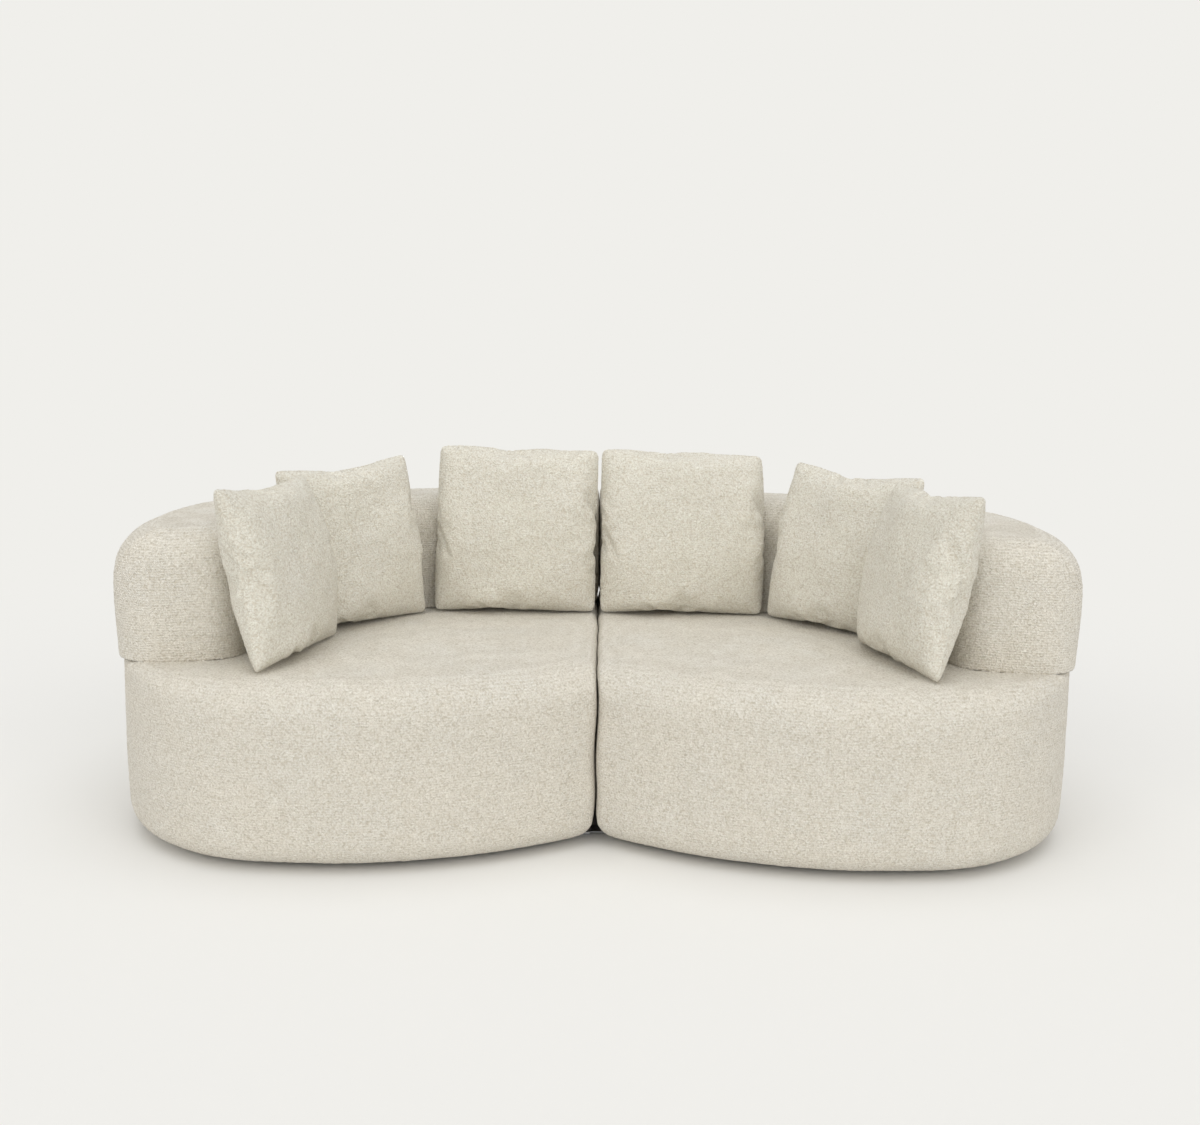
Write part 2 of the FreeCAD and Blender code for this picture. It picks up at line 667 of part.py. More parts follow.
def wall_distance(start, ray):
    """From a point behind the seats to the outside of the band, along a ray."""
    over = VALUES["band_overhang"]
    back = circle_distance(start, ray, plan.back, plan.back_radius + over)
    if bearing(plan.back, start + ray * back) >= bearing(plan.back, plan.back_corner):
        return back
    corner = circle_distance(start, ray, plan.back_corner, plan.back_corner_radius + over)
    if (start + ray * corner).y >= plan.back_corner.y:
        return corner
    return (plan.back_corner.x + plan.back_corner_radius + over - start.x) / ray.x


def band_station(stretch, share):
    """The middle of the band, its thickness there, and the direction towards the seats."""
    if stretch == "arm":
        front = VALUES["arm_front_y"] + VALUES["arm_outer_round"]
        y = front + (plan.inner_corner.y - front) * share
        outer = plan.corner.x + plan.corner_radius + VALUES["band_overhang"]
        if y < plan.corner.y:
            reach = plan.corner_radius + VALUES["band_overhang"]
            outer = plan.corner.x + math.sqrt(reach**2 - (y - plan.corner.y) ** 2)
        inner = arm_inner.value
        return Vec((inner + outer) / 2, y, 0), outer - inner, Vec(-1, 0, 0)
    if stretch == "corner":
        angle = bearing(plan.back, plan.inner_corner) * share
        ray = on_circle(Vec(0, 0, 0), 1, angle)
        outer = wall_distance(plan.inner_corner, ray)
        inner = plan.inner_corner_radius
        return plan.inner_corner + ray * ((inner + outer) / 2), outer - inner, -ray
    first, last = bearing(plan.back, plan.inner_corner), math.pi / 2
    outer = plan.back_radius + VALUES["band_overhang"]
    inner = plan.inner_back_radius
    angle = first + (last - first) * share
    point = on_circle(plan.back, (inner + outer) / 2, angle)
    return point, outer - inner, on_circle(Vec(0, 0, 0), -1, angle)


def standing(shape, point, inward):
    """A shape drawn with X pointing inwards, set down at a station."""
    placed = shape.copy()
    turn = FreeCAD.Rotation(UP, math.degrees(math.atan2(inward.y, inward.x)))
    placed.Placement = FreeCAD.Placement(point, turn)
    return placed


def block(x, y, z, length, width, height):
    return Part.makeBox(length, width, height, Vec(x, y, z))


# Plywood ribs of the base, with tabs that stand in slots of the floor ring and the seat ring
base_rib = new_body("base_rib")
rib_sketch = Profile(base_rib, "base_rib_outline", "XZ_Plane", -size("ply") / 2)
tab_start = (size("rib_depth") - size("tab_length")) / 2
tab_end = (size("rib_depth") + size("tab_length")) / 2
rib_sketch.polygon([
    (zero, floor_ring_top), (tab_start, floor_ring_top), (tab_start, core_bottom), (tab_end, core_bottom),
    (tab_end, floor_ring_top), (size("rib_depth"), floor_ring_top), (size("rib_depth"), seat_ring_bottom),
    (tab_end, seat_ring_bottom), (tab_end, seat_ring_top), (tab_start, seat_ring_top),
    (tab_start, seat_ring_bottom), (zero, seat_ring_bottom),
])
pad(base_rib, rib_sketch, size("ply"))

RIB_STATIONS = [
    ("front", 0.16), ("front", 0.5), ("front", 0.84), ("corner", 0.2), ("corner", 0.55), ("corner", 0.9),
    ("back_corner", 0.3), ("back_corner", 0.85), ("back", 0.24), ("back", 0.55), ("back", 0.86),
    ("seam", 0.3), ("seam", 0.5), ("seam", 0.7),
]
rib_inset = (frame_inset + size("liner") + size("rib_play")).value
rib_places = [station(stretch, share, rib_inset) for stretch, share in RIB_STATIONS]
base_ribs = keep(
    solid_group("base_ribs", [standing(base_rib.Shape, *place) for place in rib_places]), "right_base_ribs")

gap = VALUES["fit_gap"]
ply = VALUES["ply"]
slot = block(tab_start.value - gap, -ply / 2 - gap, 0, VALUES["tab_length"] + 2 * gap, ply + 2 * gap, VALUES["seat_height"])
rib_slots = solid_group("rib_slots", [standing(slot, *place) for place in rib_places])

# Floor ring, seat ring and the bent skin between them
ring_inside = base_block(
    "ring_inside", frame_inset + size("floor_ring_width"), core_bottom - 1, floor_ring_top + 1)
floor_ring_blank = base_block("floor_ring_blank", frame_inset, core_bottom, floor_ring_top)
floor_ring = keep(boolean("Cut", "floor_ring", floor_ring_blank, ring_inside, rib_slots), "right_floor_ring")
seat_ring_blank = base_block("seat_ring_blank", frame_inset, seat_ring_bottom, seat_ring_top)
seat_opening = new_body("seat_opening")
pad(seat_opening, opening_outline(seat_opening, seat_ring_bottom - 1), size("ply") + 2)
seat_ring_cut = boolean("Cut", "seat_ring_cut", seat_ring_blank, seat_opening, rib_slots)
liner_outside = base_block("liner_outside", frame_inset, floor_ring_top, seat_ring_bottom)
liner_inside = base_block("liner_inside", frame_inset + size("liner"), floor_ring_top - 1, seat_ring_bottom + 1)
base_liner = keep(boolean("Cut", "base_liner", liner_outside, liner_inside), "right_base_liner")

# Band frame: sill, ribs, top rail and skin
sill_blank = band_block("sill_blank", band_frame_inset, seat_ring_top, sill_top)
rail_blank = band_block("rail_blank", band_frame_inset, rail_bottom, rail_top)
rail_inside = band_block("rail_inside", band_frame_inset + size("frame_rail"), seat_ring_top - 1, rail_top + 1)
skin_outside = band_block("skin_outside", band_frame_inset, sill_top, rail_bottom)
skin_inside = band_block("skin_inside", band_frame_inset + size("liner"), sill_top - 1, rail_bottom + 1)
back_liner = keep(boolean("Cut", "back_liner", skin_outside, skin_inside), "right_back_liner")

BAND_STATIONS = [
    ("arm", 0.1), ("arm", 0.55), ("corner", 0.0), ("corner", 0.5), ("corner", 1.0),
    ("back", 0.3), ("back", 0.6), ("back", 0.9),
]
band_places = [band_station(stretch, share) for stretch, share in BAND_STATIONS]
rib_room = band_block(
    "rib_room", band_frame_inset + size("liner") + size("rib_play"), seat_ring_top - 1, rail_top + 1)
skin_room = 2 * (band_frame_inset + size("liner") + size("rib_play")).value


def band_rib(thickness, play, tab_play, low, high):
    """A rib across the band with two tabs down and two tabs up, as wide as the frame is there."""
    depth = thickness - skin_room
    body = block(-depth / 2, -ply / 2 - play, low, depth, ply + 2 * play, high - low)
    tabs = []
    for end in (-1, 1):
        middle = end * (depth / 2 - VALUES["band_tab_inset"] - VALUES["band_tab"] / 2)
        width = VALUES["band_tab"] + 2 * tab_play
        tabs.append(block(middle - width / 2, -ply / 2 - play, low - ply, width, ply + 2 * play, high - low + 2 * ply))
    return body, tabs


ribs = []
slots = []
for point, thickness, inward in band_places:
    body, tabs = band_rib(thickness, 0, 0, sill_top.value, rail_bottom.value)
    rib = standing(body.fuse(tabs).removeSplitter(), point, inward)
    ribs.append(rib.common(rib_room.Shape).Solids[0])
    slots += [standing(tab, point, inward) for tab in band_rib(thickness, gap, gap, sill_top.value, rail_bottom.value)[1]]
back_ribs = keep(solid_group("back_ribs", ribs), "right_back_ribs")
band_slots = solid_group("band_slots", slots)
top_rail = keep(boolean("Cut", "top_rail", rail_blank, rail_inside, band_slots), "right_back_top_rail")
sill_cut = boolean("Cut", "sill_cut", sill_blank, rail_inside, band_slots)


# Webbing: cross straps lie flat on the seat ring, long straps weave over and under them
def strap_span_y(x, overlap):
    """Where a long strap starts and ends, with its stapled ends."""
    front_r = plan.front_radius - (frame_inset + size("front_rail")).value + overlap
    low = plan.front.y - math.sqrt(front_r**2 - (x - plan.front.x) ** 2)
    if x > plan.inner_corner.x:
        reach = plan.inner_corner_radius - VALUES["ring_ledge"] + overlap
        return low, plan.inner_corner.y + math.sqrt(reach**2 - (x - plan.inner_corner.x) ** 2)
    reach = plan.inner_back_radius - VALUES["ring_ledge"] + overlap
    return low, plan.back.y + math.sqrt(reach**2 - x**2)


def strap_span_x(y, overlap):
    """Where a cross strap starts and ends."""
    low = (seam_x + frame_inset + size("front_rail")).value - overlap
    reach = plan.inner_corner_radius - VALUES["ring_ledge"] + overlap
    if y > plan.inner_corner.y:
        return low, plan.inner_corner.x + math.sqrt(reach**2 - (y - plan.inner_corner.y) ** 2)
    return low, plan.inner_corner.x + reach


def spread(low, high, pitch):
    """Even places between two limits, about a pitch apart."""
    count = max(2, int((high - low) / pitch))
    step = (high - low) / count
    return [low + step * (k + 0.5) for k in range(count)]


def woven_strap(x, crossings, first_over):
    """A long strap as a bent ribbon, with a rise or a dip at each cross strap."""
    thick = VALUES["strap_thickness"]
    half = VALUES["strap_width"] / 2
    flat, slope = half + 4, 14
    low, high = strap_span_y(x, VALUES["strap_overlap"])
    base = seat_ring_top.value
    line = [(low, base)]
    over = first_over
    for y in crossings:
        shift = thick + 0.1 if over else -thick - 0.1
        line += [(y - flat - slope, base), (y - flat, base + shift), (y + flat, base + shift), (y + flat + slope, base)]
        over = not over
    line.append((high, base))
    corners = [Vec(x - half, y, z) for y, z in line] + [Vec(x - half, y, z + thick) for y, z in reversed(line)]
    return Part.Face(Part.makePolygon(corners + corners[:1])).extrude(Vec(2 * half, 0, 0))


opening_left, opening_right = strap_span_x(plan.inner_corner.y, 0)
crossing_front = strap_span_y(opening_left, 0)[0]
crossing_back = strap_span_y(opening_right, 0)[1]
cross_places = spread(crossing_front, crossing_back + VALUES["strap_width"], VALUES["strap_pitch"] * 1.1)
half_strap = VALUES["strap_width"] / 2
straps = []
for y in cross_places:
    left = strap_span_x(y, VALUES["strap_overlap"])[0]
    right = min(strap_span_x(edge, VALUES["strap_overlap"])[1] for edge in (y - half_strap, y + half_strap))
    straps.append(block(left, y - half_strap, seat_ring_top.value, right - left, 2 * half_strap, VALUES["strap_thickness"]))
for count, x in enumerate(spread(opening_left, opening_right, VALUES["strap_pitch"])):
    straps.append(woven_strap(x, cross_places, count % 2 == 0))
webbing = keep(solid_group("webbing", straps), "right_webbing")


# Glides, bolts and nuts are turned parts, drawn as half sections and set down at their stations
def turned(name, corners):
    body = new_body(name)
    profile = Profile(body, name + "_section", "XZ_Plane")
    profile.polygon(corners)
    feature = body.newObject("PartDesign::Revolution", name + "_turned")
    feature.Profile = profile.sketch
    feature.ReferenceAxis = (profile.sketch, ["V_Axis"])
    feature.Angle = 360
    doc.recompute()
    return body


glide_r = size("glide_radius")
glide_edge = size("glide_edge")
glide = turned("glide", [
    (zero, zero), (glide_r - glide_edge, zero), (glide_r, glide_edge), (glide_r, core_bottom), (zero, core_bottom),
])
bolt_r = size("bolt_radius")
bolt_head = size("bolt_head_radius")
head_bottom = seat_ring_bottom - size("bolt_head_height")
nut_top = sill_top + size("tee_nut_height")
bolt = turned("bolt", [
    (zero, head_bottom), (bolt_head, head_bottom), (bolt_head, seat_ring_bottom), (bolt_r, seat_ring_bottom),
    (bolt_r, nut_top), (zero, nut_top),
])
tee_nut = turned("tee_nut", [
    (bolt_r, sill_top), (size("tee_nut_radius"), sill_top), (size("tee_nut_radius"), nut_top), (bolt_r, nut_top),
])

GLIDE_STATIONS = [("front", 0.24), ("front", 0.67), ("corner", 0.72), ("back_corner", 0.58), ("back", 0.78)]
BOLT_STATIONS = [("corner", 0.72), ("back_corner", 0.58), ("back", 0.4)]
glide_places = [station(stretch, share, VALUES["glide_inset"]) for stretch, share in GLIDE_STATIONS]
bolt_inset = (frame_inset + size("bolt_edge")).value
bolt_places = [station(stretch, share, bolt_inset) for stretch, share in BOLT_STATIONS]


def copies(name, body, places):
    return solid_group(name, [standing(body.Shape, *place) for place in places])


def drill(name, hole_radius, low, high, places):
    """Round holes as a group of cutting cylinders."""
    tool = Part.makeCylinder(hole_radius, high - low, Vec(0, 0, low), UP)
    return solid_group(name, [standing(tool, *place) for place in places])


glides = keep(copies("glides", glide, glide_places), "right_glides")
back_bolts = keep(copies("back_bolts", bolt, bolt_places), "right_back_bolts")
tee_nuts = keep(copies("tee_nuts", tee_nut, bolt_places), "right_tee_nuts")
bolt_holes = drill("bolt_holes", bolt_r.value + gap, seat_ring_bottom.value - 1, sill_top.value + 1, bolt_places)
seat_ring = keep(boolean("Cut", "seat_ring", seat_ring_cut, bolt_holes), "right_seat_ring")
back_sill = keep(boolean("Cut", "back_sill", sill_cut, bolt_holes), "right_back_sill")

# Dust cover under the floor ring, with its edge under the turned cover and openings for the glides
glide_openings = drill("glide_openings", VALUES["glide_radius"] + 1, 0, core_bottom.value, glide_places)
plate_top = size("floor_gap") - size("dust_cover_thickness")
dust_blank = base_block("dust_blank", size("bottom_round") + size("flange_width") / 2, plate_top, size("floor_gap"))
keep(boolean("Cut", "dust_cover", dust_blank, glide_openings), "right_dust_cover")


# Module connectors under the seam: a sheet steel jaw on the left module takes a tongue on the right one
steel = size("connector_steel")
tongue_low = plate_top - steel * 3
plate_start = seam_x + frame_inset + size("connector_setback")
plate_end = plate_start + size("connector_plate")
mouth = seam_x + size("jaw_mouth")


def connector_tongue(name):
    """Joggled plate: it is screwed to the floor ring and reaches under the seam."""
    body = new_body(name)
    profile = Profile(body, name + "_section", "XZ_Plane", -size("connector_width") / 2)
    nose = -mouth - size("connector_grip")
    bend_start = plate_start - size("connector_joggle")
    ahead = size("joggle_shift")
    profile.polygon([
        (nose, tongue_low), (bend_start, tongue_low), (plate_start, plate_top - steel),
        (plate_end, plate_top - steel), (plate_end, plate_top), (plate_start - ahead, plate_top),
        (bend_start - ahead, tongue_low + steel), (nose, tongue_low + steel),
    ])
    pad(body, profile, size("connector_width"))
    corners = [i for i, edge in enumerate(body.Shape.Edges, 1)
               if edge.BoundBox.XMax < nose.value + 0.01 and edge.BoundBox.ZLength > 1 and edge.BoundBox.YLength < 0.01]
    round_edges(body, corners, size("connector_width") / 4, "_nose")
    return body


def connector_jaw(name):
    """Hat channel with two flanges, open towards the floor ring, as seen along the seam's normal."""
    body = new_body(name)
    profile = Profile(body, name + "_section", "YZ_Plane", -plate_end)
    inner = size("connector_width") / 2 + size("jaw_play")
    wall = inner + steel
    lip = wall + size("jaw_flange")
    floor = tongue_low - size("jaw_play")
    profile.polygon([
        (-lip, plate_top), (-lip, plate_top - steel), (-wall, plate_top - steel), (-wall, floor - steel),
        (wall, floor - steel), (wall, plate_top - steel), (lip, plate_top - steel), (lip, plate_top),
        (inner, plate_top), (inner, floor), (-inner, floor), (-inner, plate_top),
    ])
    pad(body, profile, plate_end - mouth)
    return body


tongue_body = connector_tongue("tongue_body")
jaw_body = connector_jaw("jaw_body")
AHEAD = Vec(1, 0, 0)
front_place = front_seam_y() + VALUES["connector_front_inset"]
back_place = back_y.value - VALUES["connector_back_inset"]
connector_centres = [Vec(0, front_place, 0), Vec(0, back_place, 0)]
connector_places = [(centre, AHEAD) for centre in connector_centres]
keep(copies("connector_tongues", tongue_body, connector_places), "right_connector_tongues")
keep(copies("connector_jaws", jaw_body, connector_places), "left_connector_jaws")


def mirrored(feature, name):
    """The left module's twin of a piece, across the seam."""
    twin = doc.addObject("Part::Mirroring", name)
    twin.Source = feature
    twin.Base = Vec(0, 0, 0)
    twin.Normal = Vec(1, 0, 0)
    twin.Label = name
    doc.recompute()
    return twin


# Cushions: a knife-edge pillow is where two crossed lenses meet, one bulging across and one upwards
def lens(body, plane, start, end, thickness, length, offset):
    """Two arcs that meet in points at start and end of one axis of the sketch, padded to a length."""
    sketch = Profile(body, body.Name + "_lens", plane, offset)
    reach = (end.value - start.value) / 2
    half = thickness.value / 2
    radius = (reach**2 + half**2) / (2 * half)
    angle = math.asin(reach / radius)
    middle = (start.value + end.value) / 2
    quarter = math.pi / 2
    if plane == "XY_Plane":
        rear = sketch.arc(Vec(middle, half - radius, 0), radius, quarter - angle, quarter + angle)
        front = sketch.arc(Vec(middle, radius - half, 0), radius, -quarter - angle, -quarter + angle)
        rear_start, rear_end, front_start, front_end = START, END, END, START
        apex = Vec(middle, half, 0)
    else:
        rear = sketch.arc(Vec(half - radius, middle, 0), radius, -angle, angle)
        front = sketch.arc(Vec(radius - half, middle, 0), radius, 2 * quarter - angle, 2 * quarter + angle)
        rear_start, rear_end, front_start, front_end = START, END, END, START
        apex = Vec(half, middle, 0)
    sketch.join(rear, rear_start, front, front_start)
    sketch.join(rear, rear_end, front, front_end)
    sketch.rule("Equal", rear, front)
    top = sketch.point(apex.x, apex.y)
    sketch.rule("PointOnObject", top, START, rear)
    if plane == "XY_Plane":
        sketch.across(end, rear, rear_start)
        sketch.across(start, rear, rear_end)
        sketch.along(zero, rear, rear_start)
        sketch.along(zero, rear, rear_end)
        sketch.across((start + end) / 2, top, START)
        sketch.along(thickness / 2, top, START)
    else:
        sketch.along(start, rear, rear_start)
        sketch.along(end, rear, rear_end)
        sketch.across(zero, rear, rear_start)
        sketch.across(zero, rear, rear_end)
        sketch.across(thickness / 2, top, START)
        sketch.along((start + end) / 2, top, START)
    pad(body, sketch, length)
    return body


def pillow(name, skin):
    """Pillow standing on the middle of its lower seam, with its front towards -Y."""
    half = size("cushion_width") / 2 - skin
    low, high = skin, size("cushion_height") - skin
    thick = size("cushion_thickness") - skin * 2
    across = lens(new_body(name + "_across"), "XY_Plane", -half, half, thick, high - low, low)
    upwards = lens(new_body(name + "_upwards"), "YZ_Plane", low, high, thick, half * 2, -half)
    return boolean("Common", name, across, upwards)


def leaning(x, y, turn, lean):
    """Stands a cushion on the deck at x and y, turned outwards and leaning back, in degrees."""
    back = FreeCAD.Rotation(Vec(1, 0, 0), -lean)
    facing = FreeCAD.Rotation(UP, -turn)
    return FreeCAD.Placement(Vec(x, y, VALUES["seat_height"] + VALUES["fit_gap"]), facing.multiply(back))


def lean_room(lean, rise, fullness=1):
    """How far a leaning cushion's lower seam stays off what its back touches at a height above the deck."""
    angle = math.radians(lean)
    half = VALUES["cushion_thickness"] / 2 * fullness
    return half / math.cos(angle) + rise * math.tan(angle) + VALUES["cushion_gap"]


def wall_y(x):
    """The inside of the back at a distance from the seam plane."""
    return plan.back.y + math.sqrt(plan.inner_back_radius**2 - x**2)


half_cushion = VALUES["cushion_width"] / 2
straight_back = VALUES["back_height"] - VALUES["band_round"] - VALUES["seat_height"]
centre_x = seam_x.value + VALUES["cushion_gap"] + half_cushion
centre_y = min(
    wall_y(centre_x + share * half_cushion) - lean_room(VALUES["centre_lean"], straight_back, 1 - share**2)
    for share in (0, 0.2, 0.4, 0.6, 0.8))
corner_turn = math.radians(VALUES["corner_turn"])
outwards = Vec(math.sin(corner_turn), math.cos(corner_turn), 0)
sideways = Vec(math.cos(corner_turn), -math.sin(corner_turn), 0)
chord = math.sqrt(plan.inner_corner_radius**2 - half_cushion**2)
corner_reach = chord - straight_back * math.tan(math.radians(VALUES["corner_lean"])) - VALUES["corner_gap"]
corner_spot = plan.inner_corner + outwards * corner_reach - sideways * VALUES["corner_slide"]
arm_x = arm_inner.value - lean_room(VALUES["arm_lean"], straight_back)
CUSHIONS = {
    "centre": leaning(centre_x, centre_y, 0, VALUES["centre_lean"]),
    "corner": leaning(corner_spot.x, corner_spot.y, VALUES["corner_turn"], VALUES["corner_lean"]),
    "arm": leaning(arm_x, VALUES["arm_cushion_y"], VALUES["arm_turn"], VALUES["arm_lean"]),
}
pillow_outside = pillow("pillow_outside", zero)
pillow_stuffing = pillow("pillow_stuffing", size("cushion_skin"))
pillow_case = boolean("Cut", "pillow_case", pillow_outside, pillow_stuffing)


def cushion_piece(name, shape, placement):
    piece = doc.addObject("Part::Feature", name)
    piece.Shape = shape
    piece.Placement = placement
    return keep(piece, name)


for place, placement in CUSHIONS.items():
    cushion_piece("right_%s_cushion_cover" % place, pillow_case.Shape, placement)
    cushion_piece("right_%s_cushion_filling" % place, pillow_stuffing.Shape, placement)

for feature in list(nodes):
    name = feature.Label.replace("right_", "left_")
    if feature.Label.startswith("right_") and "connector" not in name:
        keep(mirrored(feature, name), name)

doc.recompute()
failed = [item.Name for item in doc.Objects if "Invalid" in item.State or "Error" in item.State]
if failed:
    raise RuntimeError("not built: " + ", ".join(failed))
for feature in nodes:
    shape = feature.Shape
    if shape.isNull() or not shape.isValid() or not shape.Solids:
        raise RuntimeError("no valid solid: " + feature.Label)
    shape.exportStep("parts/%s.step" % feature.Label)
print("%d nodes" % len(nodes))
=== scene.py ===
import json
import math

import bmesh
import bpy
import numpy as np
from mathutils import Matrix, Vector, noise


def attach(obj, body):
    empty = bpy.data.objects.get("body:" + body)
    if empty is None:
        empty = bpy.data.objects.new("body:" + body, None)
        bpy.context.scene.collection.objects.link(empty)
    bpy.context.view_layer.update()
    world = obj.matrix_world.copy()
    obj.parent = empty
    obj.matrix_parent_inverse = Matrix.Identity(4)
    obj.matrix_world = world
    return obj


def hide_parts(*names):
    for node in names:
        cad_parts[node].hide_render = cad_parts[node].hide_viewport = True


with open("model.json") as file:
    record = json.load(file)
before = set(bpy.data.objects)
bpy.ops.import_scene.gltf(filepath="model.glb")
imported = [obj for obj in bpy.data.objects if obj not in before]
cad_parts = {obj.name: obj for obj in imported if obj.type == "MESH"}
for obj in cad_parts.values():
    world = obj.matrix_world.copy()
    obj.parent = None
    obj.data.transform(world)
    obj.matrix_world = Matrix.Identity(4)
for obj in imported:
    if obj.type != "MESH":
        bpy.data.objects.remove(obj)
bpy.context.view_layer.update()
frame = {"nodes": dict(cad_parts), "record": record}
print("frame loaded:", len(frame["nodes"]), "nodes")

# camera, fitted to the photo
cameraSizes = {
    "place": (0.004, -3.400, 1.262),  # metres
    "down": 10.5,  # degrees below level
    "roll": 0.80,  # degrees
    "lens": 38.82,  # millimetres
    "sensor": 36.0,
}


def makeCamera(sizes):
    data = bpy.data.cameras.new("camera")
    data.lens = sizes["lens"]
    data.sensor_width = sizes["sensor"]
    camera = bpy.data.objects.new("camera", data)
    bpy.context.scene.collection.objects.link(camera)
    tilt = Matrix.Rotation(math.radians(90 - sizes["down"]), 4, "X")
    roll = Matrix.Rotation(math.radians(sizes["roll"]), 4, "Z")
    camera.matrix_world = Matrix.Translation(sizes["place"]) @ tilt @ roll
    bpy.context.scene.camera = camera


makeCamera(cameraSizes)


# shader helpers
class Wire:
    # one socket of a material, with arithmetic
    def __init__(self, tree, socket):
        self.tree = tree
        self.socket = socket

    def number(self, operation, *values):
        return self.tree.add("ShaderNodeMath", {"operation": operation}, values)

    def __add__(self, other):
        return self.number("ADD", self, other)

    def __radd__(self, other):
        return self.number("ADD", other, self)

    def __sub__(self, other):
        return self.number("SUBTRACT", self, other)

    def __rsub__(self, other):
        return self.number("SUBTRACT", other, self)

    def __mul__(self, other):
        return self.number("MULTIPLY", self, other)

    def __rmul__(self, other):
        return self.number("MULTIPLY", other, self)

    def __truediv__(self, other):
        return self.number("DIVIDE", self, other)

    def __pow__(self, other):
        return self.number("POWER", self, other)

    def clamp(self):
        return self.tree.add("ShaderNodeClamp", {}, [self])

    def sine(self):
        return self.number("SINE", self)


class Material:
    # a material with one Principled shader, whose nodes are added by name
    def __init__(self, name):
        self.data = bpy.data.materials.new(name)
        self.data.use_nodes = True
        self.nodes = self.data.node_tree.nodes
        self.links = self.data.node_tree.links
        self.shader = next(n for n in self.nodes if n.type == "BSDF_PRINCIPLED")

    def add(self, kind, settings, values=(), output=0):
        node = self.nodes.new(kind)
        for key, value in settings.items():
            setattr(node, key, value)
        pairs = values.items() if isinstance(values, dict) else enumerate(values)
        for key, value in pairs:
            self.put(node.inputs[key], value)
        return Wire(self, node.outputs[output])

    def put(self, socket, value):
        if isinstance(value, Wire):
            self.links.new(value.socket, socket)
        elif hasattr(value, "__len__") and len(value) < len(socket.default_value):
            socket.default_value = (*value, 1)
        else:
            socket.default_value = value

    def place(self):
        return self.add("ShaderNodeTexCoord", {}, output="Object")

    def axes(self, place):
        node = self.nodes.new("ShaderNodeSeparateXYZ")
        self.put(node.inputs[0], place)
        return [Wire(self, output) for output in node.outputs]

    def point(self, x, y, z):
        return self.add("ShaderNodeCombineXYZ", {}, [x, y, z])

    def noise(self, place, scale, detail=2.0, rough=0.5, output=0):
        values = {"Vector": place, "Scale": scale, "Detail": detail, "Roughness": rough}
        return self.add("ShaderNodeTexNoise", {}, values, output)

    def cells(self, place, scale, feature):
        values = {"Vector": place, "Scale": scale, "Randomness": 1.0}
        return self.add("ShaderNodeTexVoronoi", {"feature": feature}, values)

    def move(self, place, shift, amount):
        # a colour from 0 to 1 moves the place to either side
        kind = "ShaderNodeVectorMath"
        spread = self.add(kind, {"operation": "SUBTRACT"}, [shift, (0.5, 0.5, 0.5)])
        scaled = self.add(kind, {"operation": "SCALE"}, {0: spread, "Scale": amount})
        return self.add(kind, {"operation": "ADD"}, [place, scaled])

    def blend(self, share, first, second):
        values = {"Factor": share, 6: first, 7: second}
        return self.add("ShaderNodeMix", {"data_type": "RGBA"}, values, output=2)

    def finish(self, colour, rough, height=None, depth=0.001, strength=1.0, **constants):
        self.put(self.shader.inputs["Base Color"], colour)
        self.put(self.shader.inputs["Roughness"], rough)
        if height is not None:
            bump = {"Strength": strength, "Distance": depth, "Height": height}
            self.put(self.shader.inputs["Normal"], self.add("ShaderNodeBump", {}, bump))
        for name, value in constants.items():
            self.put(self.shader.inputs[name.replace("_", " ")], value)
        return self.data


def linear(*rgb):
    # display values from 0 to 255 as scene values
    shares = [value / 255 for value in rgb]
    return tuple(c / 12.92 if c <= 0.04045 else ((c + 0.055) / 1.055) ** 2.4 for c in shares)


# looped fabric, with painted shade in the hollows between its loops
boucle = {
    # light and cool colour the raised loops and shade the hollows between them: painted shade in the
    # hollows
    "light": linear(245, 241, 231),
    "hollowShade": linear(196, 188, 172),
    "cool": linear(238, 238, 233),
    "loopsPerMetre": 250.0,
    "fineLoops": 2.1,  # finer loops for each large one
    "curlScale": 130.0,
    "curl": 0.008,  # metres that the loops are pushed about
    "yarnScale": 620.0,
    "patchScale": 7.0,
    "clumpScale": 46.0,
    "waverScale": 14.0,
    "rowPitch": 0.0062,
    "rowWaver": 1.6,
    "relief": {"loops": 0.62, "fine": 0.22, "yarn": 0.2, "clumps": 0.22},
    "depth": 0.0036,
    "contrast": 1.25,  # of the colour between loops and hollows: painted shade in the hollows, painted light on the loops
    "hollow": 0.32,
    "patchContrast": 1.6,
    "patchLevel": 0.4,
    "roughness": 0.93,
    "sheen": 0.12,
    "sheenRoughness": 0.6,
    "specular": 0.15,
}


def lifted(colour, lift):
    return tuple(min(1.0, c * lift) for c in colour)


